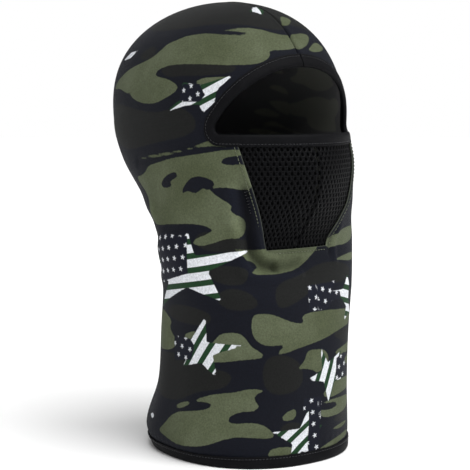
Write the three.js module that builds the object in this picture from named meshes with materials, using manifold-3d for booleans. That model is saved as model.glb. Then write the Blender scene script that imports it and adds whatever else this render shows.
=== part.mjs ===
// A camo face mask: a pull-on balaclava of printed stretch knit, shaped as it sits on a head.
//
// The hood, cheeks and neck tube are one piece of cloth, folded at the front of the neck and
// closed by one seam from the forehead over the crown and down the back. A black mesh panel in
// two halves covers nose and mouth, with a lining behind it. Black tape is folded round the edge
// of the eye opening and round the hem. Sewing thread lies on the cloth in rows.
//
// Millimetres, +Z up, the face towards -Y, the wearer's right side at -X. Heights are measured
// from the hem while the pieces are made. The whole group is then let down, so that the origin
// is the inside of the crown, where the mask rests on the top of the head.

import * as THREE from "three";
import Module from "manifold-3d";

const wasm = await Module();
wasm.setup();

// ---------------------------------------------------------------- the head form

const crownHeight = 348;
const widestHeight = 255;
const headWidth = 158;
const headDepth = 212;
const browReach = 105; // from the line under the crown to the brow
const faceReach = 102; // the radius that turns an angle round the head into a length across
const sectionPower = 2.2; // 2 is an ellipse, more is squarer
const crownPower = 2.5; // the same for the dome, seen from the side

// The outside of the cloth at each level below the widest one: half its width, and how far it
// reaches in front of and behind the line under the crown.
const hem = { height: 0, halfWidth: 73, front: 104.5, back: 47 };
const hemTop = { height: 15, halfWidth: 78, front: 102, back: 52.5 };
const lowerNeck = { height: 50, halfWidth: 74, front: 104.5, back: 40.5 };
const neck = { height: 92, halfWidth: 73.5, front: 105, back: 33.5 };
const throat = { height: 132, halfWidth: 78, front: 99.5, back: 19 };
const chin = { height: 163, halfWidth: 85, front: 89, back: 14 };
const jaw = { height: 180, halfWidth: 81, front: 97, back: 30 };
const mouth = { height: 196, halfWidth: 79.5, front: 105, back: 52 };
const cheek = { height: 225, halfWidth: 81, front: 109.5, back: 88.5 };
const widest = {
  height: widestHeight,
  halfWidth: headWidth / 2,
  front: browReach,
  back: headDepth - browReach,
};
const levels = [hem, hemTop, lowerNeck, neck, throat, chin, jaw, mouth, cheek, widest];
const crownLean = 4; // how far back the middle of the head lies above the brow
const noseRise = 6;
const noseHeight = 214;
const noseHalfWidth = 17;
const noseHalfLength = 20;

// ---------------------------------------------------------------- cloth, mesh, tape, thread

const clothThickness = 1.0;
const meshThickness = 1.2;
const liningThickness = 0.4;
const tapeThickness = 0.7;
const threadWidth = 0.6;
const layerGap = 0.4; // between two sheets cut from the same form
const wrapGap = 0.5; // between a tape or thread and the sheet it lies on
const seamSlit = 0.3; // between the two edges that a seam brings together
const tapeEndGap = 1.5; // between a tape's edge and the end of a seam's fin

// Distances outwards from the outer face of the cloth.
const clothInside = -clothThickness;
const meshOutside = clothInside - layerGap;
const meshInside = meshOutside - meshThickness;
const liningOutside = meshInside - layerGap;
const liningInside = liningOutside - liningThickness;

// The eye opening, measured inside its tape: across is along the face from its middle.
const eyeOpeningWidth = 153;
const eyeOpeningHeight = 51.5;
const eyeCornerRadius = 6;
const eyeLowerEdge = 246.5;
const eyeTapeWidth = 7.5;
const hemTapeWidth = 8;
const tapeFold = 0.9; // the solid fold of the tape beyond the edge it covers

// The mesh panel as it shows below the eye tape.
const meshTopHalfWidth = 57;
const meshTopHeight = eyeLowerEdge - eyeTapeWidth;
const meshFootHalfWidth = 32.5;
const meshFootHeight = 161.5;
const meshLap = 6; // how far the mesh runs on under the cloth

const topstitchInset = 2.8; // from the edge of the cloth to the row beside the mesh
const tapeStitchInset = 1.6; // from the outer edge of a tape to its row of stitches
const seamFinDepth = 6.5; // how far the back seam's edges stand into the hood
const noseFinDepth = 7.5;
const finRoot = clothInside * 0.4; // a fin joins its cloth inside the cloth's thickness
const overlockReach = 3.2; // how far an overlock thread covers the edge it binds
const overlockThickness = 0.5;

const clothColour = "#4d5940";
const blackMesh = "#2b2b2f";
const blackTape = "#17181b";
const thread = "#39442c";

// ---------------------------------------------------------------- the form's surface

/** A smooth line through the levels' values: a cubic between each two, level at the ends. */
function alongLevels(key, height) {
  const n = levels.length;
  const slope = (i) => {
    if (i === 0 || i === n - 1) return 0;
    const [a, b] = [levels[i - 1], levels[i + 1]];
    return (b[key] - a[key]) / (b.height - a.height);
  };
  let i = 0;
  while (i < n - 2 && height > levels[i + 1].height) i++;
  const [low, high] = [levels[i], levels[i + 1]];
  const span = high.height - low.height;
  const t = THREE.MathUtils.clamp((height - low.height) / span, 0, 1);
  const [t2, t3] = [t * t, t * t * t];
  return (
    low[key] * (2 * t3 - 3 * t2 + 1) + slope(i) * span * (t3 - 2 * t2 + t) +
    high[key] * (3 * t2 - 2 * t3) + slope(i + 1) * span * (t3 - t2)
  );
}

/** The section at a height: half its width, half its depth and its middle along Y. */
function sectionAt(height) {
  if (height <= widestHeight) {
    const [front, back] = [alongLevels("front", height), alongLevels("back", height)];
    return {
      halfWidth: alongLevels("halfWidth", height),
      halfDepth: (front + back) / 2,
      middle: (back - front) / 2,
    };
  }
  const rise = Math.min((height - widestHeight) / (crownHeight - widestHeight), 1);
  const round = Math.sqrt(Math.max(1 - rise ** crownPower, 0));
  return {
    halfWidth: (headWidth / 2) * round,
    halfDepth: (headDepth / 2) * round,
    middle: (widest.back - widest.front) / 2 + crownLean * Math.sin(Math.PI * rise),
  };
}

/** How far the section's outline is from the crown's line, in the direction of an angle from the
 * front: the distance at which the superellipse's sum reaches 1, found by halving. */
function reachAt(angle, height) {
  const { halfWidth, halfDepth, middle } = sectionAt(height);
  if (halfWidth < 1e-6) return 0;
  let [low, high] = [0, 2 * Math.max(headWidth, headDepth)];
  for (let i = 0; i < 50; i++) {
    const r = (low + high) / 2;
    const x = Math.abs(r * Math.sin(angle)) / halfWidth;
    const y = Math.abs(-r * Math.cos(angle) - middle) / halfDepth;
    if (x ** sectionPower + y ** sectionPower > 1) high = r;
    else low = r;
  }
  return (low + high) / 2;
}

/** The nose lifts the mesh in a soft round hump. */
function noseLift(angle, height) {
  const across = angle * faceReach / noseHalfWidth;
  const up = (height - noseHeight) / noseHalfLength;
  return noseRise * Math.exp(-0.5 * (across * across + up * up));
}

function formPoint(angle, height) {
  const reach = reachAt(angle, height) + noseLift(angle, height);
  return new THREE.Vector3(reach * Math.sin(angle), -reach * Math.cos(angle), height);
}

/** The rows' parameter: 0 at the hem, 1 at the widest height, 2 at the crown. */
function heightOf(row) {
  if (row <= 1) return widestHeight * row;
  return widestHeight + (crownHeight - widestHeight) * Math.sin((Math.PI / 2) * (row - 1));
}

function rowOf(height) {
  if (height <= widestHeight) return height / widestHeight;
  const rise = (height - widestHeight) / (crownHeight - widestHeight);
  return 1 + Math.asin(Math.min(rise, 1)) / (Math.PI / 2);
}

/** The outward normal, from the surface's two directions at this place. */
function formNormal(angle, height) {
  const row = rowOf(height);
  if (row > 1.995) return new THREE.Vector3(0, 0, 1);
  const step = 0.004;
  const round = formPoint(angle + step, height).sub(formPoint(angle - step, height));
  const up = formPoint(angle, heightOf(row + step)).sub(formPoint(angle, heightOf(row - step)));
  return round.cross(up).normalize();
}

/** A place on the form: across and height on the cloth, and out from its outer face. */
function onForm(across, height, out) {
  const angle = across / faceReach;
  return formPoint(angle, height).addScaledVector(formNormal(angle, height), out);
}

// ---------------------------------------------------------------- solids

function signedVolume(positions, triangles) {
  const p = (i) => new THREE.Vector3(...positions[i]);
  return triangles.reduce((sum, [a, b, c]) => sum + p(a).dot(p(b).cross(p(c))) / 6, 0);
}

/** Turns corner lists and triangles into a manifold solid with its faces outwards. */
function solidFrom(positions, triangles) {
  const outwards = signedVolume(positions, triangles) > 0;
  const turned = outwards ? triangles : triangles.map(([a, b, c]) => [a, c, b]);
  return new wasm.Manifold(
    new wasm.Mesh({
      numProp: 3,
      vertProperties: new Float32Array(positions.flat()),
      triVerts: new Uint32Array(turned.flat()),
    }),
  );
}

/** A closed section carried along stations: place(station, corner) gives each point. */
function sweep(stations, section, place, closed) {
  const positions = stations.flatMap((s) => section.map((corner) => place(s, corner).toArray()));
  const [rows, width] = [stations.length, section.length];
  const triangles = [];
  for (let i = 0; i < (closed ? rows : rows - 1); i++) {
    for (let j = 0; j < width; j++) {
      const [a, b] = [i * width + j, i * width + ((j + 1) % width)];
      const next = ((i + 1) % rows) * width;
      const [c, d] = [next + ((j + 1) % width), next + j];
      triangles.push([a, b, c], [a, c, d]);
    }
  }
  if (!closed) {
    const cap = THREE.ShapeUtils.triangulateShape(
      section.map(([x, y]) => new THREE.Vector2(x, y)), [],
    );
    const clockwise = THREE.ShapeUtils.isClockWise(
      section.map(([x, y]) => new THREE.Vector2(x, y)),
    );
    const last = (rows - 1) * width;
    for (const [a, b, c] of cap) {
      const first = clockwise ? [a, b, c] : [a, c, b];
      triangles.push(first, [first[0] + last, first[2] + last, first[1] + last]);
    }
  }
  return solidFrom(positions, triangles);
}

/** A box between two corners. */
function block(low, high) {
  const place = (z, [x, y]) => new THREE.Vector3(x, y, z);
  const corners = [[low[0], low[1]], [high[0], low[1]], [high[0], high[1]], [low[0], high[1]]];
  return sweep([low[2], high[2]], corners, place, false);
}

const frontStep = THREE.MathUtils.degToRad(6);
const backStep = THREE.MathUtils.degToRad(12);
const frontArc = THREE.MathUtils.degToRad(60);

/** The columns of the form, closer together round the face. */
function columnAngles() {
  const angles = [];
  for (let a = -frontArc; a < frontArc - 1e-6; a += frontStep) angles.push(a);
  const rest = 2 * Math.PI - 2 * frontArc;
  const steps = 2 * Math.round(rest / backStep / 2);
  for (let i = 0; i < steps; i++) angles.push(frontArc + (rest * i) / steps);
  return angles;
}

const neckRows = 14;
const faceRows = 16;
const crownRows = 8;

/** The heights of the form's rows above a starting height, with one just above the hem tape and
 * closer together over the face. */
function rowHeights(bottom) {
  const heights = [bottom];
  const aboveTape = hemTapeWidth + tapeEndGap;
  for (let i = 0; i < neckRows; i++) {
    heights.push(THREE.MathUtils.lerp(aboveTape, meshFootHeight, i / neckRows));
  }
  for (let i = 0; i < faceRows; i++) {
    heights.push(THREE.MathUtils.lerp(meshFootHeight, widestHeight, i / faceRows));
  }
  for (let i = 0; i < crownRows; i++) heights.push(heightOf(1 + i / crownRows));
  return heights;
}

/** A closed sheet over the whole form, from a height to the crown, between two distances out. */
function formShell(bottom, outside, inside) {
  const angles = columnAngles();
  const n = angles.length;
  const heights = rowHeights(bottom);
  const positions = [];
  for (const out of [outside, inside]) {
    for (const height of heights) {
      for (const angle of angles) {
        const point = formPoint(angle, height).addScaledVector(formNormal(angle, height), out);
        if (height === bottom) point.z = bottom;
        positions.push(point.toArray());
      }
    }
    positions.push([0, 0, crownHeight + out]);
  }
  const side = heights.length * n + 1;
  const triangles = [];
  const quad = (a, b, c, d) => triangles.push([a, b, c], [a, c, d]);
  for (let j = 0; j < n; j++) {
    const k = (j + 1) % n;
    for (let i = 0; i < heights.length - 1; i++) {
      const [a, b, c, d] = [i * n + j, i * n + k, (i + 1) * n + k, (i + 1) * n + j];
      quad(a, b, c, d);
      quad(d + side, c + side, b + side, a + side);
    }
    const top = (heights.length - 1) * n;
    triangles.push([top + j, top + k, side - 1], [side + top + k, side + top + j, 2 * side - 1]);
    quad(j, j + side, k + side, k);
  }
  return solidFrom(positions, triangles);
}

const cutterOffsets = [-12, -6, -3, 0, 3, 12];
const innerDrum = 6;
const outerDrum = 3 * faceReach;

/** A solid that cuts the form along an outline. Near the cloth it follows the cloth's normals, so
 * that every edge is square to its sheet. Its ends lie on two level drums, one close round the
 * line under the crown and one well outside the form. */
function cutterFor(outline) {
  const onDrum = (radius) => ([across, height]) => {
    const angle = across / faceReach;
    return new THREE.Vector3(radius * Math.sin(angle), -radius * Math.cos(angle), height);
  };
  const near = cutterOffsets.map((out) => ([x, y]) => onForm(x, y, out));
  const rings = [onDrum(innerDrum), ...near, onDrum(outerDrum)];
  const n = outline.length;
  const positions = rings.flatMap((ring) => outline.map((point) => ring(point).toArray()));
  const flat = outline.map(([x, y]) => new THREE.Vector2(x, y));
  const cap = THREE.ShapeUtils.triangulateShape(flat, []);
  const clockwise = THREE.ShapeUtils.isClockWise(flat);
  const last = (rings.length - 1) * n;
  const triangles = [];
  for (let i = 0; i < rings.length - 1; i++) {
    for (let j = 0; j < n; j++) {
      const k = (j + 1) % n;
      const [a, b, c, d] = [i * n + j, i * n + k, (i + 1) * n + k, (i + 1) * n + j];
      triangles.push([a, b, c], [a, c, d]);
    }
  }
  for (const [a, b, c] of cap) {
    const first = clockwise ? [a, b, c] : [a, c, b];
    triangles.push(first, [first[0] + last, first[2] + last, first[1] + last]);
  }
  return solidFrom(positions, triangles);
}

// ---------------------------------------------------------------- outlines on the cloth

/** An arc's points, from one angle to another. */
function arc(x, y, radius, from, to, steps) {
  return Array.from({ length: steps + 1 }, (_, i) => {
    const a = THREE.MathUtils.lerp(from, to, i / steps);
    return [x + radius * Math.cos(a), y + radius * Math.sin(a)];
  });
}

/** Points along straight lines through corners, no further apart than the given step. */
function dense(corners, step = 5) {
  const points = [corners[0]];
  for (let i = 1; i < corners.length; i++) {
    const [a, b] = [corners[i - 1], corners[i]];
    const count = Math.max(1, Math.ceil(Math.hypot(b[0] - a[0], b[1] - a[1]) / step));
    for (let k = 1; k <= count; k++) {
      points.push([
        THREE.MathUtils.lerp(a[0], b[0], k / count),
        THREE.MathUtils.lerp(a[1], b[1], k / count),
      ]);
    }
  }
  return points;
}

/** Half of the eye opening's edge, grown outwards, on the wearer's left: from the middle of the
 * forehead down a wide arch, round a small corner and along a level lower edge to the middle.
 * The arch's radius is the one that meets the corner and the forehead without a kink. */
function eyeEdgeHalf(grow) {
  const cornerAcross = eyeOpeningWidth / 2 - eyeCornerRadius;
  const [high, small] = [eyeOpeningHeight, eyeCornerRadius];
  const archRadius =
    (cornerAcross ** 2 + (high - small) ** 2 - small ** 2) / (2 * (high - 2 * small));
  const archCentre = eyeLowerEdge + high - archRadius;
  const cornerCentre = eyeLowerEdge + small;
  const meet = Math.atan2(cornerCentre - archCentre, cornerAcross);
  return [
    ...arc(0, archCentre, archRadius + grow, Math.PI / 2, meet, 22),
    ...arc(cornerAcross, cornerCentre, small + grow, meet, -Math.PI / 2, 8).slice(1),
    ...dense([[cornerAcross, eyeLowerEdge - grow], [0, eyeLowerEdge - grow]], 6).slice(1),
  ];
}

/** The mesh panel's side line, leaning out as it rises, moved outwards by a distance. */
function meshSideAt(height, grow) {
  const [run, rise] = [meshTopHalfWidth - meshFootHalfWidth, meshTopHeight - meshFootHeight];
  const lean = Math.hypot(run, rise) / rise;
  return meshFootHalfWidth + (run * (height - meshFootHeight)) / rise + grow * lean;
}

const mirrored = (points) => points.map(([x, y]) => [-x, y]);
const clothEdge = tapeFold + wrapGap; // from the inside of the eye opening to the cloth's edge

/** The window in the hood: the upper eye edge and corners, then down the mesh's sides. */
function windowOutline() {
  const half = eyeEdgeHalf(clothEdge);
  const lower = eyeLowerEdge - clothEdge;
  const limit = meshSideAt(lower, 0);
  const kept = half.filter(([x, y]) => y > lower + 1e-6 || x > limit);
  const side = dense([
    [limit, lower],
    [meshFootHalfWidth, meshFootHeight],
    [0, meshFootHeight],
  ]);
  const left = [...kept, ...side];
  return [...left, ...mirrored(left.slice(1, -1)).reverse()];
}

/** One half of a mesh or lining sheet, on the wearer's left, running on under the cloth. */
function panelOutline(grow) {
  const top = eyeLowerEdge - clothEdge;
  const foot = meshFootHeight - grow;
  const middle = seamSlit / 2;
  const corners = [
    [middle, foot],
    [meshSideAt(foot, grow), foot],
    [meshSideAt(top, grow), top],
    [middle, top],
    [middle, foot],
  ];
  return dense(corners).slice(0, -1);
}

// ---------------------------------------------------------------- pieces

const camoHood = () => {
  const bottom = clothEdge;
  let hood = formShell(bottom, 0, clothInside);
  hood = hood.subtract(cutterFor(windowOutline()));
  const far = 2 * headDepth;
  const eyeTop = eyeLowerEdge + eyeOpeningHeight;
  const half = seamSlit / 2;
  hood = hood.subtract(block([-half, 0, -far], [half, far, far + crownHeight]));
  hood = hood.subtract(block([-half, -far, eyeTop - eyeTapeWidth], [half, 1, far + crownHeight]));
  for (const side of [-1, 1]) {
    const [near, away] = [side * half, side * (half + clothThickness)];
    const section = [[near, finRoot], [away, finRoot], [away, -seamFinDepth], [near, -seamFinDepth]];
    hood = hood.add(sweep(seamPath(), section, besideSeam, false));
  }
  return hood;
};

/** The back seam's line, from above the eye tape over the crown and down to the hem tape, at
 * the same rows as the cloth, so that the seam's edges leave the cloth evenly. */
function seamPath() {
  const start = eyeLowerEdge + eyeOpeningHeight + eyeTapeWidth + tapeEndGap;
  const end = hemTapeWidth + tapeEndGap;
  const heights = rowHeights(clothEdge);
  const front = [start, ...heights.filter((height) => height > start + 1)];
  const back = [end, ...heights.filter((height) => height > end + 1)];
  const station = (angle) => (height) => ({
    point: formPoint(angle, height),
    normal: formNormal(angle, height),
  });
  const crown = { point: new THREE.Vector3(0, 0, crownHeight), normal: new THREE.Vector3(0, 0, 1) };
  return [...front.map(station(0)), crown, ...back.reverse().map(station(Math.PI))];
}

/** A place beside a seam in the middle plane: x to the side, out along the cloth's normal. */
const besideSeam = ({ point, normal }, [x, out]) =>
  new THREE.Vector3(x, 0, 0).add(point).addScaledVector(normal, out);

/** A U of overlock thread round the free edge of a fin, with its inside clear of the fin. */
function overlockSection(halfFin, edge) {
  const inner = halfFin + wrapGap;
  const outer = inner + overlockThickness;
  const [top, floor] = [edge + overlockReach, edge - wrapGap];
  const under = floor - overlockThickness;
  return [
    [-outer, top], [-outer, under], [outer, under], [outer, top],
    [inner, top], [inner, floor], [-inner, floor], [-inner, top],
  ];
}

const backSeamOverlock = () => {
  const section = overlockSection(seamSlit / 2 + clothThickness, -seamFinDepth);
  return sweep(seamPath(), section, besideSeam, false);
};

/** The nose seam's line, up the middle of the mesh between its foot and the eye tape. */
function nosePath() {
  const low = meshFootHeight + tapeEndGap;
  const high = meshTopHeight - tapeEndGap;
  const steps = 12;
  return Array.from({ length: steps + 1 }, (_, i) => {
    const height = THREE.MathUtils.lerp(low, high, i / steps);
    return { point: formPoint(0, height), normal: formNormal(0, height) };
  });
}

/** A half of the mesh or its lining, with its edge turned in along the nose seam. */
function panelHalf(side, outside, inside, finNear, finAway, grow) {
  const outline = panelOutline(grow);
  const sheet = formShell(0, outside, inside).intersect(
    cutterFor(side > 0 ? outline : mirrored(outline).reverse()),
  );
  const top = (outside + inside) / 2;
  const section = [
    [side * finNear, top],
    [side * finAway, top],
    [side * finAway, -noseFinDepth],
    [side * finNear, -noseFinDepth],
  ];
  return sheet.add(sweep(nosePath(), section, besideSeam, false));
}

const meshFinAway = seamSlit / 2 + meshThickness;
const liningFinNear = meshFinAway + layerGap;
const liningFinAway = liningFinNear + liningThickness;

const meshPanel = (side) =>
  panelHalf(side, meshOutside, meshInside, seamSlit / 2, meshFinAway, meshLap);

/** The lining stops short of the nose seam's fin on the mesh, and its own edge turns in there. */
const meshLining = (side) => {
  const half = panelHalf(side, liningOutside, liningInside, liningFinNear, liningFinAway, meshLap);
  const reach = meshFinAway + layerGap;
  const keepClear = block([-reach, -2 * headDepth, 0], [reach, 0, crownHeight]);
  return half.subtract(keepClear);
};

const noseSeamOverlock = () =>
  sweep(nosePath(), overlockSection(liningFinAway, -noseFinDepth), besideSeam, false);

/** A strip that follows a line on the cloth: corners are [outwards from the line, out]. */
function stripAlong(line, section, closed) {
  const n = line.length;
  const stations = line.map((here, i) => {
    const before = closed ? line[(i + n - 1) % n] : line[Math.max(i - 1, 0)];
    const after = closed ? line[(i + 1) % n] : line[Math.min(i + 1, n - 1)];
    const [dx, dy] = [after[0] - before[0], after[1] - before[1]];
    const length = Math.hypot(dx, dy);
    return { here, across: [-dy / length, dx / length] };
  });
  const place = ({ here, across }, [away, out]) =>
    onForm(here[0] + away * across[0], here[1] + away * across[1], out);
  return sweep(stations, section, place, closed);
}

/** The folded tape's section: a U over the sheet's edge, its fold towards the opening. */
function tapeSection(width, under) {
  const top = wrapGap + tapeThickness;
  const bottom = under - wrapGap - tapeThickness;
  return [
    [0, top], [width, top], [width, wrapGap], [tapeFold, wrapGap],
    [tapeFold, under - wrapGap], [width, under - wrapGap], [width, bottom], [0, bottom],
  ];
}

/** The eye opening's whole edge as an open line, its two ends meeting on the forehead. */
function eyeLine(grow) {
  const half = eyeEdgeHalf(grow);
  const end = seamSlit / 2;
  const left = [[end, half[0][1]], ...half.slice(1)];
  return [...left, ...mirrored(left.slice(0, -1)).reverse()];
}

const eyeBinding = () => stripAlong(eyeLine(0), tapeSection(eyeTapeWidth, liningInside), false);

const threadSection = (under) => {
  const [low, high] = [under + wrapGap, under + wrapGap + threadWidth];
  const half = threadWidth / 2;
  return [[-half, low], [half, low], [half, high], [-half, high]];
};

const eyeBindingStitch = () => {
  const line = eyeLine(eyeTapeWidth - tapeStitchInset);
  return stripAlong(line, threadSection(wrapGap + tapeThickness), false);
};

/** Stations round the hem at the cloth's own columns, from one side of the back seam to the
 * other, so that the tape's facets lie along the cloth's. */
function hemStations() {
  const end = Math.PI - seamSlit / 2 / hem.back;
  const between = columnAngles()
    .map((angle) => (angle > Math.PI ? angle - 2 * Math.PI : angle))
    .filter((angle) => Math.abs(angle) < Math.PI - 1e-6)
    .sort((a, b) => a - b);
  return [-end, ...between, end];
}

/** A place at the hem: up from its edge, and out on the level, so that the edge is flat. */
function atHem(angle, [up, out]) {
  const normal = formNormal(angle, up).setZ(0).normalize();
  return formPoint(angle, up).addScaledVector(normal, out);
}

const hemBinding = () => sweep(hemStations(), tapeSection(hemTapeWidth, clothInside), atHem, false);

const hemBindingStitch = () => {
  const level = hemTapeWidth - tapeStitchInset;
  const section = threadSection(wrapGap + tapeThickness).map(([up, out]) => [level + up, out]);
  return sweep(hemStations(), section, atHem, false);
};

/** The row beside the mesh, up one side, in the cloth. */
function sideTopstitch(side) {
  const [low, high] = [meshFootHeight - topstitchInset, meshTopHeight - tapeEndGap];
  const line = dense(
    [[meshSideAt(low, topstitchInset), low], [meshSideAt(high, topstitchInset), high]], 4,
  );
  const placed = side > 0 ? line : mirrored(line);
  return stripAlong(placed, threadSection(0), false);
}

const lowerTopstitch = () => {
  const height = meshFootHeight - topstitchInset;
  const end = meshSideAt(height, topstitchInset) - threadWidth - layerGap;
  return stripAlong(dense([[-end, height], [end, height]], 4), threadSection(0), false);
};

/** The overlock thread round the mesh's hidden edge: a flat strip under the mesh and lining,
 * folded up past their edge. */
function edgeOverlock(line) {
  const floor = liningInside - wrapGap;
  const under = floor - overlockThickness;
  const top = meshOutside - layerGap;
  const [near, away] = [wrapGap, wrapGap + overlockThickness];
  const section = [
    [-overlockReach, floor], [near, floor], [near, top], [away, top], [away, under],
    [-overlockReach, under],
  ];
  return stripAlong(line, section, false);
}

function sideOverlock(side) {
  const low = meshFootHeight - meshLap + overlockReach;
  const high = meshTopHeight - tapeEndGap;
  const line = dense([[meshSideAt(high, meshLap), high], [meshSideAt(low, meshLap), low]]);
  return edgeOverlock(side > 0 ? line : mirrored(line).reverse());
}

const lowerOverlock = () => {
  const height = meshFootHeight - meshLap;
  const end = meshSideAt(height, meshLap) - overlockReach - wrapGap - overlockThickness;
  return edgeOverlock(dense([[end, height], [-end, height]]));
};

// ---------------------------------------------------------------- the assembly

const group = new THREE.Group();
group.position.z = -(crownHeight - clothThickness);

function addPiece(name, solid, colour, roughness) {
  const { vertProperties, triVerts } = solid.getMesh();
  const geometry = new THREE.BufferGeometry();
  geometry.setAttribute("position", new THREE.BufferAttribute(vertProperties, 3));
  geometry.setIndex(new THREE.BufferAttribute(triVerts, 1));
  geometry.computeVertexNormals();
  const material = new THREE.MeshStandardMaterial({ color: colour, roughness, metalness: 0 });
  const mesh = new THREE.Mesh(geometry, material);
  mesh.name = name;
  group.add(mesh);
}

addPiece("camo_hood", camoHood(), clothColour, 0.9);
addPiece("eye_binding", eyeBinding(), blackTape, 0.7);
addPiece("hem_binding", hemBinding(), blackTape, 0.7);
for (const [name, side] of [["right", -1], ["left", 1]]) {
  addPiece(`${name}_mesh_panel`, meshPanel(side), blackMesh, 0.8);
  addPiece(`${name}_mesh_lining`, meshLining(side), blackTape, 0.9);
  addPiece(`${name}_mesh_topstitch`, sideTopstitch(side), thread, 0.6);
  addPiece(`${name}_mesh_overlock`, sideOverlock(side), thread, 0.6);
}
addPiece("lower_mesh_topstitch", lowerTopstitch(), thread, 0.6);
addPiece("lower_mesh_overlock", lowerOverlock(), thread, 0.6);
addPiece("nose_seam_overlock", noseSeamOverlock(), blackTape, 0.6);
addPiece("back_seam_overlock", backSeamOverlock(), blackTape, 0.6);
addPiece("eye_binding_stitch", eyeBindingStitch(), blackTape, 0.6);
addPiece("hem_binding_stitch", hemBindingStitch(), blackTape, 0.6);

export default group;
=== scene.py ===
# %% [markdown]
# # A camo face mask
#
# A balaclava is a tube of stretch knit closed over the head, with an opening for the eyes. This
# one is printed cloth with a black mesh panel over nose and mouth. Two ways to make it come to
# mind: pull a real cloth over a head by simulation, or work out the shape that the stretched
# cloth takes and lay every piece on it. A stretched knit has hardly any freedom left, so the
# second way is used: one formula for the head's shape, and every piece is a sheet, a strip or a
# row of threads laid on that shape. Nothing here is random, so it comes out the same each time.

import bmesh
import bpy
import numpy as np
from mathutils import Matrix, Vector


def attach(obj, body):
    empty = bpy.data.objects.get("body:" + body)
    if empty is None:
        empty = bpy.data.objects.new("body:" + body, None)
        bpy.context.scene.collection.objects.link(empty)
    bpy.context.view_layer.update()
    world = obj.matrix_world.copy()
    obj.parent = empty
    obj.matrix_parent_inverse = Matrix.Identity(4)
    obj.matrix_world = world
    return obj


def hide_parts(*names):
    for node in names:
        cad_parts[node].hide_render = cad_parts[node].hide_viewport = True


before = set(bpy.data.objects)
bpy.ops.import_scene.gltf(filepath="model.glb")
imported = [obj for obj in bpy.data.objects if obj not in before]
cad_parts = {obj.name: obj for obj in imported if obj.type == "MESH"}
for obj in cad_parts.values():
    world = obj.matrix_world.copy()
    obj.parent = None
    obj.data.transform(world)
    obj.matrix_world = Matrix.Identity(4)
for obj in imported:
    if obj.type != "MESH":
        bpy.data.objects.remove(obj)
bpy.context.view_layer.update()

# %% [markdown]
# ## The shape of the head under the cloth
#
# The form is a stack of level outlines. Each is a superellipse, which is an ellipse with fuller
# corners, and its width, front and back change smoothly with the height above the hem. A place on
# the cloth is then given by two numbers in millimetres: how far across from the middle of the
# face, and how high above the hem. Every piece uses those two numbers, as a pattern cutter would.

# %% The head form
CROWN = 348.0  # height of the top of the hood above its hem, all in millimetres
WIDEST = 255.0
REACH = 102.0  # turns an angle round the head into a length across
CLOTH_THICKNESS = 1.0
SEAT = CROWN - CLOTH_THICKNESS  # the hem hangs this far below the origin, the inside of the crown
SECTION_POWER = 2.2  # 2 is an ellipse, more is squarer
CROWN_POWER = 2.5  # the same for the dome, seen from the side
CROWN_LEAN = 4.0  # how far back the middle of the head lies above the brow
NOSE_RISE, NOSE_HEIGHT, NOSE_HALF_WIDTH, NOSE_HALF_LENGTH = 6.0, 214.0, 17.0, 20.0

# height, half width, front, back
LEVELS = np.array(
    [
        (0, 73, 104.5, 47),
        (15, 78, 102, 52.5),
        (50, 74, 104.5, 40.5),
        (92, 73.5, 105, 33.5),
        (132, 78, 99.5, 19),
        (163, 85, 89, 14),
        (180, 81, 97, 30),
        (196, 79.5, 105, 52),
        (225, 81, 109.5, 88.5),
        (255, 79, 105, 107),
    ]
)


def along_levels(column, height):
    """A smooth line through one column of LEVELS: a cubic between each two levels whose slope at
    a level is that of the line between its neighbours, and level at both ends."""
    x, y = LEVELS[:, 0], LEVELS[:, column]
    slope = np.zeros(len(x))
    slope[1:-1] = (y[2:] - y[:-2]) / (x[2:] - x[:-2])
    i = np.clip(np.searchsorted(x, height, side="right") - 1, 0, len(x) - 2)
    span = x[i + 1] - x[i]
    t = np.clip((height - x[i]) / span, 0, 1)
    return (
        y[i] * (2 * t**3 - 3 * t**2 + 1)
        + slope[i] * span * (t**3 - 2 * t**2 + t)
        + y[i + 1] * (3 * t**2 - 2 * t**3)
        + slope[i + 1] * span * (t**3 - t**2)
    )


def reach_at(angle, height):
    """How far the outline is from the crown's line in a direction. Halving the bracket finds the
    r where |r sin a / half width|^p + |(-r cos a - middle) / half depth|^p = 1, p being the
    section's power. A soft hump is added over the nose."""
    half, front, back = (along_levels(k, height) for k in (1, 2, 3))
    rise = np.clip((height - WIDEST) / (CROWN - WIDEST), 0, 1)
    dome = np.sqrt(np.maximum(1 - rise**CROWN_POWER, 0))
    half = np.maximum(half * dome, 1e-6)
    depth = np.maximum((front + back) / 2 * dome, 1e-6)
    middle = (back - front) / 2 + np.where(height > WIDEST, CROWN_LEAN * np.sin(np.pi * rise), 0)
    low = np.zeros(np.broadcast(angle, height).shape)
    high = low + 400
    for _ in range(32):
        r = (low + high) / 2
        level = np.abs(r * np.sin(angle) / half) ** SECTION_POWER
        level = level + np.abs((-r * np.cos(angle) - middle) / depth) ** SECTION_POWER
        low, high = np.where(level > 1, low, r), np.where(level > 1, r, high)
    beside = angle * REACH / NOSE_HALF_WIDTH
    above = (height - NOSE_HEIGHT) / NOSE_HALF_LENGTH
    return (low + high) / 2 + NOSE_RISE * np.exp(-0.5 * (beside**2 + above**2))


def bare_form(across, height):
    """The point on the cloth's outer face: (r sin a, -r cos a, height), a = across / REACH."""
    angle = across / REACH
    r = reach_at(angle, height)
    return np.stack([r * np.sin(angle), -r * np.cos(angle), height + 0 * r], -1)


def form_normal(across, height, step=0.4):
    """The direction out of the cloth: the cross product of the steps across and up."""
    side = bare_form(across + step, height) - bare_form(across - step, height)
    up = bare_form(across, height + step) - bare_form(across, height - step)
    n = np.cross(side, up)
    size = np.linalg.norm(n, axis=-1, keepdims=True)
    return np.where(size > 1e-9, n / np.maximum(size, 1e-9), (0.0, 0.0, 1.0))


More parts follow.
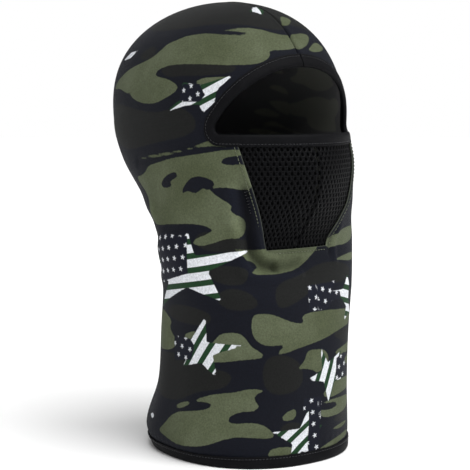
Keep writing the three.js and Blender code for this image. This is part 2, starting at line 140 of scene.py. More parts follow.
def on_form(across, height, out=0.0):
    """Points that stand a distance out from the cloth, along its normal."""
    across, height, out = np.broadcast_arrays(
        np.asarray(across, float), np.asarray(height, float), np.asarray(out, float)
    )
    return bare_form(across, height) + form_normal(across, height) * out[..., None]


def to_frame(points):
    """Millimetres above the hem to metres in the shared frame, whose origin is the crown."""
    return (np.asarray(points) - (0, 0, SEAT)) / 1000


def smooth(low, high, x):
    """0 below low, 1 above high, and t*t*(3 - 2t) between."""
    t = np.clip((np.asarray(x, float) - low) / (high - low), 0, 1)
    return t * t * (3 - 2 * t)


def run_length(points):
    """Length along a line of points, from its start to each point."""
    return np.concatenate([[0], np.cumsum(np.linalg.norm(np.diff(points, axis=0), axis=1))])


def points_at(at, length, points):
    """Points of a line at given lengths along it, on the straight pieces between its points."""
    return np.stack([np.interp(at, length, column) for column in points.T], -1)


def unit(vectors):
    """The same directions with a length of one."""
    return vectors / np.linalg.norm(vectors, axis=-1, keepdims=True)


around = np.radians(np.arange(0, 361, 2.0)) * REACH
girth = run_length(bare_form(around, np.full(around.shape, WIDEST)))[-1]
print("girth at the brow, mm:", round(girth))

# %% [markdown]
# ## Turning grids of points into meshes
#
# A sheet is a grid of points with rows and columns. One helper joins neighbouring points with
# four-sided faces, leaves out faces that a mask rejects, and drops points that nothing uses. It
# is the only place where faces are made, so all of them turn the same way, outwards.

# %% Mesh helpers
def grid_faces(rows, columns, wrap=False):
    """Corner numbers of every cell of a grid: (i, j), (i, j+1), (i+1, j+1), (i+1, j)."""
    across = np.arange(columns if wrap else columns - 1)
    i, j = np.meshgrid(np.arange(rows - 1), across, indexing="ij")
    k = (j + 1) % columns
    cells = [i * columns + j, i * columns + k, (i + 1) * columns + k, (i + 1) * columns + j]
    return np.stack([c.ravel() for c in cells], -1)


def tube_faces(stations, ring):
    """Faces of a tube, with both of its ends closed by a flat face."""
    ends = [list(range(ring)), list(range((stations - 1) * ring, stations * ring))]
    return grid_faces(stations, ring, wrap=True).tolist() + ends


def make_piece(name, points, faces, materials, attributes=None, turn_out=False):
    """A mesh object from points in mm and lists of corner numbers. A corner named twice in a face
    counts once, a face with fewer than three goes, and so does a point that no face uses."""
    faces = [list(dict.fromkeys(face)) for face in faces]
    faces = [face for face in faces if len(face) > 2]
    used = np.unique(np.concatenate(faces))
    number = np.zeros(len(points), int)
    number[used] = np.arange(len(used))
    mesh = bpy.data.meshes.new(name)
    mesh.from_pydata(to_frame(points[used]).tolist(), [], [number[face].tolist() for face in faces])
    mesh.polygons.foreach_set("use_smooth", [True] * len(mesh.polygons))
    for title, values in (attributes or {}).items():
        kept = np.asarray(values, float)[used]
        kind, field = ("FLOAT", "value") if kept.ndim == 1 else ("FLOAT_VECTOR", "vector")
        mesh.attributes.new(title, kind, "POINT").data.foreach_set(field, kept.ravel())
    for material in materials:
        mesh.materials.append(material)
    if turn_out:
        solid = bmesh.new()
        solid.from_mesh(mesh)
        bmesh.ops.recalc_face_normals(solid, faces=solid.faces)
        solid.to_mesh(mesh)
        solid.free()
    mesh.update()
    piece = bpy.data.objects.new(name, mesh)
    bpy.context.scene.collection.objects.link(piece)
    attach(piece, "root")
    return piece


def thicken(piece, thickness, inside_material=0):
    """Solidify inwards; the inner face may take its own material."""
    wall = piece.modifiers.new("thickness", "SOLIDIFY")
    wall.thickness = thickness / 1000
    wall.offset = -1
    wall.material_offset = inside_material
    return piece


def weld(piece, distance):
    """Merge points closer than a distance in mm, and drop faces that fold to nothing."""
    soup = bmesh.new()
    soup.from_mesh(piece.data)
    bmesh.ops.remove_doubles(soup, verts=soup.verts, dist=distance / 1000)
    bmesh.ops.dissolve_degenerate(soup, edges=soup.edges, dist=distance / 2000)
    soup.to_mesh(piece.data)
    soup.free()
    return piece


# %% [markdown]
# ## The edge of the eye opening
#
# The opening is a level lower edge under a wide arch, with small round corners. The arch is one
# big circle that touches both corner circles from inside, so its radius follows from them.

# %% The eye opening and the mesh window
EYE_WIDTH, EYE_HEIGHT, EYE_CORNER, EYE_LOW = 153.0, 51.5, 6.0, 246.5
MESH_FOOT, MESH_TOP = 161.5, 239.0
MESH_FOOT_HALF, MESH_TOP_HALF = 32.5, 57.0


def eye_edge(count):
    """Right half of the opening's edge from the bottom middle to the top middle, as (across,
    height): a level line, a corner arc, and an arch of radius
    (c*c + (H-r)*(H-r) - r*r) / (2 (H - 2r)), c being half the width less the corner's radius."""
    r, h = EYE_CORNER, EYE_HEIGHT
    c = EYE_WIDTH / 2 - r
    big = (c * c + (h - r) ** 2 - r * r) / (2 * (h - 2 * r))
    touch = np.arctan2(r - (h - big), c)
    corner = np.linspace(-np.pi / 2, touch, 14)
    arch = np.linspace(touch, np.pi / 2, 60)[1:]
    line = np.stack([np.linspace(0, c, 40), np.zeros(40)], -1)[:-1]
    turn = np.stack([c + r * np.cos(corner), r + r * np.sin(corner)], -1)
    top = np.stack([big * np.cos(arch), h - big + big * np.sin(arch)], -1)
    half = np.concatenate([line, turn, top]) + (0, EYE_LOW)
    length = run_length(half)
    return points_at(np.linspace(0, length[-1], count), length, half)


def eye_loop(half_count):
    """The whole edge, from the top middle down one side, along the bottom and up the other."""
    half = eye_edge(half_count)
    return np.concatenate([half[::-1], (half * (-1, 1))[1:]])[::-1]


def mesh_side(height):
    """How far from the middle the mesh panel reaches at a height: a straight slanted side."""
    rise = (height - MESH_FOOT) / (MESH_TOP - MESH_FOOT)
    return MESH_FOOT_HALF + (MESH_TOP_HALF - MESH_FOOT_HALF) * rise


FAR = 40.0  # what a distance reads further from an outline than a quarter of this


def outline_distance(x, y, outline):
    """Signed distance to a closed outline: the least distance to any of its sides, and negative
    inside, where a level ray crosses the outline an odd number of times."""
    out = np.full(x.shape, FAR)
    low, high = outline.min(0) - FAR / 4, outline.max(0) + FAR / 4
    near = (x > low[0]) & (x < high[0]) & (y > low[1]) & (y < high[1])
    if not near.any():
        return out
    p = np.stack([x[near], y[near]], -1)[:, None, :]
    a, b = outline[None], np.roll(outline, -1, 0)[None]
    side = b - a
    t = np.clip(((p - a) * side).sum(-1) / np.maximum((side * side).sum(-1), 1e-9), 0, 1)
    least = np.linalg.norm(p - a - side * t[..., None], axis=-1).min(1)
    spans = (a[..., 1] > p[..., 1]) != (b[..., 1] > p[..., 1])
    rise = np.where(b[..., 1] == a[..., 1], 1e-9, b[..., 1] - a[..., 1])
    cross = a[..., 0] + side[..., 0] * (p[..., 1] - a[..., 1]) / rise
    inside = (spans & (p[..., 0] < cross)).sum(1) % 2 == 1
    out[near] = np.where(inside, -least, least)
    return out


print("edge of the eye opening, mm:", round(2 * run_length(eye_edge(200))[-1]))

# %% [markdown]
# ## The print
#
# The cloth carries a camouflage of olive patches on navy and dark brown, with a few stars filled
# with white and green stripes and a dotted corner. A picture could be wrapped on, but a material
# made of formulas stays sharp at any distance. Each patch is drawn as an outline of a few points
# (across, height) on the cloth, its corners are cut round, and every point of the cloth stores its
# signed distance to the nearest patch. The material then paints where that number is below zero.
# On the sides that this drawing doesn't reach, the cloth repeats it a printed repeat further on.

# %% Outlines of the print
OLIVE = [
    # crown band, from the back of the head to the forehead seam
    [(-232, 284), (-204, 295), (-180, 300), (-161, 304), (-150, 310), (-144, 314), (-130, 317),
     (-118, 319.5), (-102, 321), (-78, 322), (-60, 325), (-44, 325.6), (-28, 324), (-16, 321),
     (2, 319.5), (2, 311), (-10, 309), (-30, 308.5), (-27, 304.5), (-38, 298.5), (-60, 297.5),
     (-90, 298.7), (-118, 298.7), (-136, 297), (-146, 294), (-148.5, 291.5), (-144, 289.5),
     (-130, 288), (-118, 285), (-112, 281), (-118, 277), (-130, 273), (-142, 269.5), (-160, 269),
     (-176, 271), (-188, 274.5), (-204, 278), (-218, 280.5), (-234, 279)],
    # temple
    [(-97, 283.6), (-90, 288), (-78, 289), (-62, 289.5), (-70, 286), (-82, 284)],
    # sliver over the cheek
    [(-166, 228), (-130, 232.6), (-102, 236), (-86, 241), (-78, 243.5), (-70, 243), (-62, 239),
     (-78, 239), (-90, 238), (-110, 233.4), (-130, 230), (-162, 227)],
    # cheek
    [(-156, 217), (-150, 222.6), (-136, 225), (-118, 229), (-100, 231.4), (-82, 234),
     (-64, 237), (-50, 236), (-52, 233), (-66, 231.4), (-71, 228), (-66, 225), (-50, 227),
     (-46, 214), (-50, 206), (-64, 210), (-80, 208), (-72, 202), (-60, 196), (-64, 193), (-52, 186),
     (-50, 176), (-56, 173), (-68, 171), (-76, 168), (-84, 166), (-92, 167), (-90, 171),
     (-82, 174), (-75, 178), (-82, 181), (-92, 182), (-106, 181), (-120, 180), (-134, 178),
     (-148, 179), (-152, 190), (-158, 200), (-176, 209), (-178, 213), (-166, 214)],
    # the fold under the mesh panel
    [(-62, 164.5), (-52, 163), (-46, 162), (-34, 163), (-10, 163), (14, 164), (24, 162.4),
     (10, 154),
     (-2, 148), (-14, 145), (-34, 143.6), (-50, 145), (-50.4, 156), (-58, 161)],
    # far cheek
    [(29, 166), (42, 169), (52, 173), (64, 174), (84, 173), (80, 163), (60, 160), (44, 160.5),
     (33, 159)],
    [(38, 150), (50, 152), (80, 153), (80, 147), (62, 147), (50, 149)],
    [(58, 236), (70, 238), (90, 232), (96, 222), (84, 214), (70, 210), (56, 206), (54, 214),
     (62, 224)],
    # front of the neck
    [(-47, 113), (-45, 116.4), (-34, 116), (-28, 114), (-20, 110), (-10, 107), (-6, 108),
     (-8.4, 112), (-2, 114.6), (18, 114.6), (38, 113), (56, 111), (58, 100), (38, 99), (26, 97),
     (14, 94), (-2, 91), (-14, 89), (-22, 86.4), (-30, 85.6), (-24, 91), (-23, 93), (-34, 92),
     (-41, 94), (-46, 99), (-47.6, 107)],
    # side of the neck
    [(-74, 97), (-70, 101.6), (-58, 102.6), (-52, 99), (-48, 92), (-38, 86), (-39, 83.4),
     (-54, 82), (-70, 79.6), (-80, 79), (-79, 92)],
    [(-146, 113), (-130, 111), (-120, 105), (-126, 101), (-118, 94), (-114, 90), (-119, 85),
     (-130, 82), (-152, 81), (-160, 92), (-154, 106)],
    [(-106, 97), (-96, 100.6), (-89, 101.6), (-94, 96), (-102, 93)],
    # low patch at the side
    [(-141, 19), (-130, 26), (-122, 33), (-110, 38), (-98, 40), (-84, 42.6), (-77, 46),
     (-80, 49), (-94, 48), (-84, 53), (-72, 56), (-58, 57.6), (-50, 60.4), (-36, 59.4), (-46, 55.6),
     (-44, 50), (-41, 47), (-46, 43), (-56, 43), (-64, 39), (-65, 35), (-60, 33.6), (-46, 35),
     (-36, 32), (-29, 24), (-32, 22), (-44, 23), (-58, 24), (-70, 21), (-82, 16), (-94, 14),
     (-110, 13), (-122, 15), (-132, 17)],
    [(-117, 41), (-104, 46.6), (-95, 47.4), (-102, 43), (-110, 40)],
    [(-25, 37), (-20, 41.8), (-13, 43.8), (-12, 36), (-20, 34)],
    [(-34, 12), (-30, 14.8), (-14, 14.4), (-11, 8), (-30, 7.4), (-35, 9)],
    # round the lower star and at the far side
    [(-14, 73), (-6, 80), (-5, 86.4), (4, 87), (14, 85), (18, 76), (6, 68), (2, 71), (-6, 73.6)],
    [(22, 80), (30, 84.4), (60, 86), (60, 79), (36, 78.6)],
    [(36, 74), (52, 76), (60, 75), (58, 69), (42, 69)],
    [(10, 50), (18, 58), (30, 60.6), (60, 58), (60, 49), (36, 49.6), (20, 47.6)],
    [(9, 45), (28, 46.4), (60, 43), (60, 34), (30, 32.4), (9, 33)],
    [(22, 22.4), (38, 24), (60, 22), (38, 19.6)],
    [(8, 8.6), (30, 14.4), (60, 15), (60, 11), (30, 9.6), (10, 6)],
    # over the crown, past the seam
    [(0, 320), (6, 321), (20, 322), (30, 320.8), (24, 317), (16, 313), (6, 310), (0, 309)],
    [(0, 328), (8, 333.4), (20, 335.4), (30, 333), (20, 330.6), (10, 328), (2, 327)],
    [(12, 309), (24, 313.4), (34, 315.6), (48, 312), (36, 308.6), (20, 307.6)],
]
DARK_ON_OLIVE = [
    [(-114, 322), (-90, 324.4), (-74, 323.8), (-58, 323), (-40, 321), (-50, 319.6),
     (-70, 320.4), (-92, 321.6)],
    [(-206, 276), (-190, 278), (-181, 279), (-190, 275.4)],
    [(-131, 209), (-125, 215), (-112, 220), (-107, 216.4), (-119, 211.6), (-114, 208),
     (-126, 206.4)],
    [(-106, 203), (-97, 215), (-86, 217.6), (-73, 213), (-79, 206), (-84, 209), (-90, 203.6),
     (-97, 206)],
    [(8, 43), (22, 44), (31, 41), (22, 38), (10, 39)],
    [(-60, 151), (-55, 155), (-46, 154.6), (-40, 150.4), (-46, 147), (-56, 147)],
]
BROWN = [
    [(-240, 326), (-150, 324), (-60, 330), (-2, 322), (2, 330), (60, 322), (120, 326),
     (120, 360), (-240, 360)],
    [(-192, 306), (-172, 314), (-158, 309), (-162, 303), (-182, 302)],
    [(-230, 270), (-180, 265), (-140, 262), (-108, 268), (-90, 258), (-96, 246), (-140, 240),
     (-190, 232), (-236, 240)],
    [(-144, 296), (-120, 299), (-84, 299.4), (-56, 298), (-60, 292), (-84, 290), (-110, 290),
     (-130, 288.6)],
    [(-92, 172), (-80, 178), (-66, 172), (-50, 172), (-46, 160), (-64, 161), (-86, 163)],
    [(-80, 149), (-70, 152), (-50, 150), (-50, 138), (-66, 137), (-78, 142)],
    [(-74, 131), (-62, 136), (-48, 132), (-40, 122), (-54, 118), (-70, 121)],
    [(-126, 118), (-100, 121), (-76, 116), (-80, 106), (-104, 106), (-126, 109)],
    [(-164, 76), (-140, 80), (-110, 82), (-84, 76), (-60, 72), (-66, 60), (-90, 56), (-110, 46),
     (-140, 44), (-168, 52)],
    [(-38, 84), (-22, 86), (-8, 76), (-8, 58), (-30, 54), (-40, 64)],
    [(-26, 138), (-4, 142), (20, 150), (50, 148), (64, 140), (50, 133), (10, 134), (-8, 124),
     (-26, 118), (-30, 128)],
    [(20, 96), (40, 98), (60, 96), (60, 88), (36, 88)],
    [(-26, 30), (-16, 34), (-4, 30), (-8, 22), (-22, 24)],
    [(22, 30), (44, 33), (60, 31), (60, 26), (36, 25)],
]
# Each star: its outline, the slant of its stripes in degrees, the length of a white and a green
# stripe together, where the stripes start, and its dark dotted corner.
STARS = [
    ([(-53, 160.5), (-80, 147.5), (-73, 128.5), (-98, 134.5), (-137, 118), (-121, 136), (-146, 150),
      (-112, 156), (-97, 172), (-90, 159)], 10, 10.6, 0.55, [(-134, 134), (-96.4, 145),
      (-96.4, 173), (-130, 173)]),
    ([(-83.3, 109.5), (-81.8, 94), (-58, 92.2), (-77, 85), (-75.3, 70.6), (-87, 78), (-104, 75),
      (-97, 87),
      (-120, 94), (-98, 93)], 56, 10.4, 0.62, [(-118, 76), (-97, 79), (-93.6, 90), (-98, 95),
      (-118, 95)]),
    ([(10, 85), (16, 75), (31, 80), (26, 66), (35, 60.5), (24, 60), (17.6, 47), (12, 61),
      (-1, 64.6),
      (10, 70)], 70, 9.6, 0.1, [(25, 60), (42, 62), (40, 80), (26, 77)]),
    ([(-2, 39.6), (0, 28), (11, 27), (3, 19), (1.5, 7), (-6, 10), (-15.6, 7), (-14, 16),
      (-28, 26.2),
      (-8, 27.2)], 37, 9.6, 0.2, [(-0.6, 7), (10.4, 7), (10.4, 50), (-6, 50), (-6, 40), (0, 40)]),
    ([(19, 128), (40, 127.5), (54, 138), (52, 118), (60, 104), (50, 108), (40, 103), (46, 114),
      (38, 121)], -14, 10, 0.2, [(0, 115.5), (20, 115.5), (24, 121), (38, 121), (36, 127),
      (22, 128), (34, 135), (0, 134)]),
    ([(-64, 288.6), (-74, 280), (-78, 271), (-85.5, 263), (-90, 270), (-104, 268), (-122, 264.6),
      (-108, 273), (-106, 284), (-90, 283)], 24, 10, 0.5, [(-110, 271), (-89, 271), (-84, 276),
      (-90, 284), (-108, 284)]),
    ([(-32, 338.6), (-14, 342), (2, 342.6), (-4, 339), (-14, 336), (-22, 338)], 30, 12, 0.1, None),
    ([(-232, 302), (-218, 308.6), (-202, 309.6), (-212, 304)], 10, 20, 0.3, None),
    ([(-172, 26.2), (-162, 29), (-152, 28.2), (-158, 25)], 10, 20, 0.5, None),
]
BRIDGE = [  # olive patches down the far side, where the drawing ends
    [(88, 270), (100, 274), (118, 268), (128, 256), (116, 250), (104, 256), (92, 262)],
    [(92, 222), (108, 228), (124, 219), (118, 208), (102, 214)],
    [(86, 186), (104, 197), (122, 194), (134, 180), (118, 172), (106, 180), (92, 176)],
    [(94, 140), (108, 146), (126, 138), (120, 126), (108, 130), (98, 120), (90, 130)],
    [(88, 92), (102, 98), (122, 94), (136, 80), (114, 76), (100, 84)],
    [(92, 46), (104, 56), (118, 50), (130, 36), (112, 27), (98, 34)],
]
REPEAT = 284.0  # how far on across the cloth the print comes again, clear of the drawn part
DRAWN = (-236.0, 92.0)  # across, where the drawing starts and ends
DROP = -9.0  # how far down the cloth the repeat is moved
DOT_STEP = 8.4  # between the dots of a star's dark corner
# how far the patches come again: across on the right side, across on the left side, and up
AGAIN = [(100, -184, 52), (130, -136, 24)]


def long_tips(outline, more=1.16):
    """A star's outer points, every second one, moved out from its middle, because a thin tip is
    blunted when it is stored at the cloth's own points."""
    points = np.array(outline, float)
    middle = points.mean(0)
    if len(points) == 10:
        points[::2] = middle + (points[::2] - middle) * more
    return points


def cut_round(outline, times=2):
    """Each corner is replaced by two points a quarter of the way along its sides, twice over."""
    points = np.array(outline, float)
    for _ in range(times):
        after = np.roll(points, -1, 0)
        pairs = [points * 0.75 + after * 0.25, points * 0.25 + after * 0.75]
        points = np.stack(pairs, 1).reshape(-1, 2)
    return points


def patches(across, height, outlines):
    """Distance to the nearest of several rounded patches: the least of their distances."""
    return np.minimum.reduce([outline_distance(across, height, cut_round(o)) for o in outlines])


def printed(across, height):
    """The print's numbers at places on the cloth: distances to olive, brown and star patches, the
    stripe number, the distance to the dotted corner, and the dots' own pair of coordinates.
    Stripe number = (height cos s - across sin s) / stripe length + start."""
    olive = np.maximum(patches(across, height, OLIVE), -patches(across, height, DARK_ON_OLIVE))
    brown = patches(across, height, BROWN)
    star, corner = np.full(across.shape, FAR), np.full(across.shape, FAR)
    stripe, dots = np.zeros(across.shape), np.zeros(across.shape + (2,))
    nearest = np.full(across.shape, 1e9)
    for outline, slant, length, start, dotted in STARS:
        s = np.radians(slant)
        distance = outline_distance(across, height, long_tips(outline))
        here = distance < nearest
        nearest = np.where(here, distance, nearest)
        star = np.minimum(star, distance)
        u = across * np.cos(s) + height * np.sin(s)
        v = height * np.cos(s) - across * np.sin(s)
        stripe = np.where(here, v / length + start, stripe)
        if dotted is not None:
            dark = outline_distance(across, height, np.array(dotted, float))
            corner = np.minimum(corner, dark)
            dots = np.where(here[..., None], np.stack([u, v], -1) / DOT_STEP, dots)
    distances = {"olive": olive, "brown": brown, "star": star, "corner": corner}
    return {**distances, "stripe": stripe, "dots": dots}


def print_on(across, height):
    """The drawn part of the print, and beyond it the same drawing one repeat further on, moved
    down the cloth a little as a half-drop repeat is. Its olive and brown patches come there twice
    more, moved up and along, with a wavy line where they start."""
    start, end = DRAWN
    steps = np.where(across > end, -REPEAT, np.where(across < start, REPEAT, 0.0))
    drop = np.where(steps != 0, DROP * smooth(6, 40, height) * smooth(345, 300, height), 0.0)
    numbers = printed(across + steps, height + drop)
    beyond = np.maximum(across - end - 14, start - 6 - across) + 6 * np.sin(height / 17)
    numbers["olive"] = np.minimum(numbers["olive"], patches(across, height, BRIDGE))
    for right, left, up in AGAIN:
        again = np.where(across > 0, across + left, across + right), height + up
        for name, outlines in (("olive", OLIVE), ("brown", BROWN)):
            more = np.maximum(patches(*again, outlines), -beyond)
            numbers[name] = np.minimum(numbers[name], more)
    return numbers


print("patches:", len(OLIVE), "olive,", len(BROWN), "brown,", len(STARS), "stars")

# %% [markdown]
# ## Materials
#
# Each finish is built from nodes. The cloth's colours come from the stored distances; its knit is
# a bump from the cloth's own coordinates, so the rows of stitches follow the cloth. Sewing thread
# is a twisted yarn, which shows as slanted bands along each stitch. A small class wires up the
# nodes, so that each finish below reads as the list of its layers.

# %% Material helpers
def colour(red, green, blue):
    """A colour as a screen shows it, 0 to 255, to the linear light that a shader works in."""
    c = np.array([red, green, blue]) / 255
    linear = np.where(c <= 0.04045, c / 12.92, ((c + 0.055) / 1.055) ** 2.4)
    return (*linear.tolist(), 1.0)


class Finish:
    """A node material being wired up: every call adds one node and returns its first output."""

    def __init__(self, name):
        self.material = bpy.data.materials.new(name)
        self.material.use_nodes = True
        self.tree = self.material.node_tree
        self.shader = self.tree.nodes["Principled BSDF"]

    def add(self, kind, inputs=(), output=0, **settings):
        made = self.tree.nodes.new(kind)
        for key, value in settings.items():
            setattr(made, key, value)
        for key, value in dict(inputs).items():
            self.put(made.inputs[key], value)
        return made.outputs[output]

    def put(self, socket, value):
        if isinstance(value, bpy.types.NodeSocket):
            self.tree.links.new(value, socket)
        else:
            socket.default_value = value

    def math(self, operation, a, b=0.0, c=0.0):
        return self.add("ShaderNodeMath", {0: a, 1: b, 2: c}, operation=operation)

    def stored(self, name, output="Fac"):
        return self.add("ShaderNodeAttribute", output=output, attribute_name=name)

    def place(self):
        return self.add("ShaderNodeTexCoord", output="Object")

    def noise(self, scale, detail=2.0, rough=0.5, where=None):
        where = self.place() if where is None else where
        inputs = {"Vector": where, "Scale": scale, "Detail": detail, "Roughness": rough}
        return self.add("ShaderNodeTexNoise", inputs)

    def ramp(self, value, low, high, at_low=0.0, at_high=1.0):
        return self.add("ShaderNodeMapRange", {0: value, 1: low, 2: high, 3: at_low, 4: at_high})

    def mix(self, factor, first, second, blend="MIX"):
        node = self.tree.nodes.new("ShaderNodeMix")
        node.data_type, node.blend_type = "RGBA", blend
        for socket, value in ((0, factor), (6, first), (7, second)):
            self.put(node.inputs[socket], value)
        return node.outputs[2]

    def shaded(self, base, value):
        """A colour times a number."""
        grey = self.add("ShaderNodeCombineColor", {0: value, 1: value, 2: value})
        return self.mix(1.0, base, grey, "MULTIPLY")

    def split(self, vector):
        node = self.tree.nodes.new("ShaderNodeSeparateXYZ")
        self.put(node.inputs[0], vector)
        return node.outputs[0], node.outputs[1]

    def bump(self, height, strength, distance, under=None):
        inputs = {"Height": height, "Strength": strength, "Distance": distance}
        if under is not None:
            inputs["Normal"] = under
        return self.add("ShaderNodeBump", inputs)

    def finish(self, base, normal, roughness, sheen=0.0, sheen_rough=0.5, specular=0.3, tint=None):
        inputs = {
            "Base Color": base,
            "Normal": normal,
            "Roughness": roughness,
            "Specular IOR Level": specular,
            "Sheen Weight": sheen,
            "Sheen Roughness": sheen_rough,
            "Sheen Tint": (1.0, 1.0, 1.0, 1.0) if tint is None else tint,
        }
        for key, value in inputs.items():
            self.put(self.shader.inputs[key], value)
        return self.material


def knit_height(f, wale=1.25, course=0.95):
    """The height of a plain knit: two slanted legs to each stitch, so that a column reads as a V.
    Height = sin of 2 pi (v / course + 1.1 |fraction of u / wale - 1/2|), faded between columns."""
    u, v = f.split(f.stored("knit", "Vector"))
    across = f.math("FRACT", f.math("DIVIDE", u, wale))
    leg = f.math("ABSOLUTE", f.math("SUBTRACT", across, 0.5))
    turn = f.math("MULTIPLY_ADD", leg, 1.1, f.math("DIVIDE", v, course))
    loop = f.math("SINE", f.math("MULTIPLY", turn, 2 * np.pi))
    half = f.math("FRACT", f.math("MULTIPLY", across, 2.0))
    column = f.math("SINE", f.math("MULTIPLY", half, np.pi))
    return f.math("MULTIPLY", f.math("MULTIPLY_ADD", loop, 0.35, 0.65), column)


# %% [markdown]
# ## The cloth's two faces
#
# The print is only on the face of the knit; its back is the pale yarn, with a ghost of the print.
# The face paints, from the bottom up, the ground, the brown, the olive, then the stars. Soft light
# hardly shows a fold in dark cloth, so a stored number also darkens valleys and lightens ridges.

# %% The cloth's two faces
def camo_cloth():
    """Face of the cloth: navy and brown ground, olive patches, then stars on top of them."""
    f = Finish("camo_knit")
    grain = f.noise(780, 4.0, 0.75)
    cloud = f.noise(28, 3.0, 0.55)
    waver = f.math("MULTIPLY_ADD", f.noise(420, 2.0), 0.9, -0.45)

    def inside(name, edge=0.22):
        return f.ramp(f.math("ADD", f.stored(name), waver), -edge, edge, 1.0, 0.0)

    ground = f.mix(inside("brown", 0.5), colour(13, 16, 26), colour(26, 27, 26))
    olive = f.mix(f.ramp(cloud, 0.35, 0.65), colour(80, 87, 63), colour(95, 102, 79))
    base = f.mix(inside("olive"), ground, olive)
    green_or_white = f.ramp(f.math("FRACT", f.stored("stripe")), 0.575, 0.6)
    filled = f.mix(green_or_white, colour(230, 233, 238), colour(30, 62, 36))
    base = f.mix(inside("star"), base, filled)
    base = f.mix(inside("corner"), base, colour(17, 20, 33))

    u, v = f.split(f.stored("dots", "Vector"))
    row = f.math("FLOOR", v)
    u = f.math("MULTIPLY_ADD", f.math("MODULO", row, 2.0), 0.5, u)
    du = f.math("SUBTRACT", f.math("FRACT", u), 0.5)
    dv = f.math("SUBTRACT", f.math("FRACT", v), 0.5)
    away = f.math("MULTIPLY_ADD", du, du, f.math("MULTIPLY", dv, dv))
    away = f.math("SQRT", away)
    point = f.math("COSINE", f.math("MULTIPLY", f.math("ARCTAN2", dv, du), 5.0))
    radius = f.math("MULTIPLY_ADD", point, 0.07, 0.16)
    dot = f.ramp(f.math("SUBTRACT", away, radius), -0.04, 0.04, 1.0, 0.0)
    dot = f.math("MULTIPLY", dot, inside("corner", 0.4))
    base = f.mix(dot, base, colour(226, 229, 234))

    shade = f.ramp(grain, 0.25, 0.75, 0.62, 1.32)
    base = f.shaded(base, shade)
    # Painted shade in the creases' valleys and a painted highlight on their ridges, from the stored
    # fold.
    depth = f.ramp(f.stored("fold"), -4.0, 3.0, 0.4, 1.25)
    base = f.shaded(base, depth)
    # A painted highlight along the cloth's folded edge at the mesh window, where the fold catches
    # the light.
    edge_highlight = f.ramp(f.stored("edge"), 0.0, 0.8, 0.35, 0.0)
    base = f.mix(edge_highlight, base, colour(122, 128, 112))
    folded = f.math("SUBTRACT", f.stored("edge"), 2.8)
    groove = f.ramp(f.math("ABSOLUTE", folded), 0.0, 1.1)
    normal = f.bump(groove, 0.6, 0.0004)
    normal = f.bump(knit_height(f), 0.55, 0.00028, normal)
    normal = f.bump(grain, 0.25, 0.0002, normal)
    return f.finish(base, normal, 0.72, 0.03, 0.5, 0.12, colour(200, 205, 210))


def cloth_reverse():
    """Back of the printed cloth: the print only ghosts through a pale grey knit."""
    f = Finish("camo_knit_reverse")
    grain = f.noise(1300, 3.0, 0.7)
    through = f.ramp(f.stored("olive"), -0.8, 0.8)
    ghost = f.mix(through, colour(132, 134, 124), colour(104, 104, 106))
    shade = f.ramp(grain, 0.2, 0.8, 0.82, 1.1)
    base = f.shaded(ghost, shade)
    return f.finish(base, f.bump(knit_height(f, 1.25, 0.8), 0.6, 0.0003), 0.9, 0.2, 0.5, 0.2)


# %% [markdown]
# ## The black stuffs and the thread
#
# Tape is woven with ribs along it, mesh is knitted from thick yarn and lining is a plain weave.
# Each could be one dark colour, but a weave and small changes of shade tell them apart.

# %% Tape, mesh, lining and thread
def black_tape():
    """Stretch binding: fine ribs along its length, a soft sheen, a little lint-grey variation."""
    f = Finish("black_tape")
    rib = f.math("SINE", f.math("MULTIPLY", f.stored("side"), 2 * np.pi / 0.8))
    pick = f.math("SINE", f.math("MULTIPLY", f.stored("along"), 2 * np.pi / 0.9))
    weave = f.math("MULTIPLY_ADD", f.math("MULTIPLY", rib, pick), 0.5, 0.5)
    base = f.mix(f.ramp(f.noise(160, 4.0, 0.6), 0.3, 0.7), colour(4, 4, 6), colour(10, 10, 13))
    base = f.mix(f.math("MULTIPLY", weave, 0.2), base, colour(18, 19, 23))
    normal = f.bump(weave, 0.5, 0.00025)
    normal = f.bump(f.noise(700, 2.0), 0.3, 0.0002, normal)
    return f.finish(base, normal, 0.6, 0.01, 0.4, 0.08, colour(190, 196, 206))


def black_mesh():
    """Spacer mesh yarn: dark grey polyester, each strand showing its filaments."""
    f = Finish("black_mesh")
    stretched = f.add("ShaderNodeMapping", {"Vector": f.place(), "Scale": (900.0, 900.0, 300.0)})
    yarn = f.noise(1.0, 2.0, 0.6, stretched)
    base = f.mix(f.ramp(yarn, 0.3, 0.7), colour(2, 2, 3), colour(8, 9, 12))
    base = f.mix(f.ramp(f.noise(40, 2.0), 0.3, 0.7, 0.0, 0.5), base, colour(4, 4, 6))
    return f.finish(base, f.bump(yarn, 0.6, 0.0003), 0.5, 0.005, 0.3, 0.09, colour(190, 194, 206))


def black_lining():
    """Thin plain-woven lining that shows as near black through the holes of the mesh."""
    f = Finish("black_lining")
    x, y = f.split(f.stored("knit", "Vector"))
    wave = f.math("SINE", f.math("MULTIPLY", x, 2 * np.pi / 0.7))
    other = f.math("SINE", f.math("MULTIPLY", y, 2 * np.pi / 0.7))
    weave = f.math("MULTIPLY", wave, other)
    base = f.mix(f.ramp(f.noise(300, 3.0), 0.3, 0.7), colour(3, 3, 4), colour(7, 7, 9))
    return f.finish(base, f.bump(weave, 0.5, 0.0002), 0.8, 0.01, 0.5, 0.1)


def sewing_thread(name, dark, light):
    """Two-ply thread: slanted bands, (along + turn) / ply, painted shade in the groove, lit crest.
    """
    f = Finish(name)
    turn = f.math("MULTIPLY_ADD", f.stored("side"), 0.5, f.stored("along"))
    ply = f.math("SINE", f.math("MULTIPLY", turn, 2 * np.pi / 0.55))
    # The ramp paints shade into the groove between the plies and a lighter tone on their lit
    # crests.
    base = f.mix(f.ramp(ply, -0.9, 0.5), dark, light)
    base = f.mix(f.ramp(f.noise(500, 2.0), 0.3, 0.7, 0.0, 0.4), base, dark)
    return f.finish(base, f.bump(ply, 0.7, 0.0002), 0.5, 0.2, 0.3, 0.4)


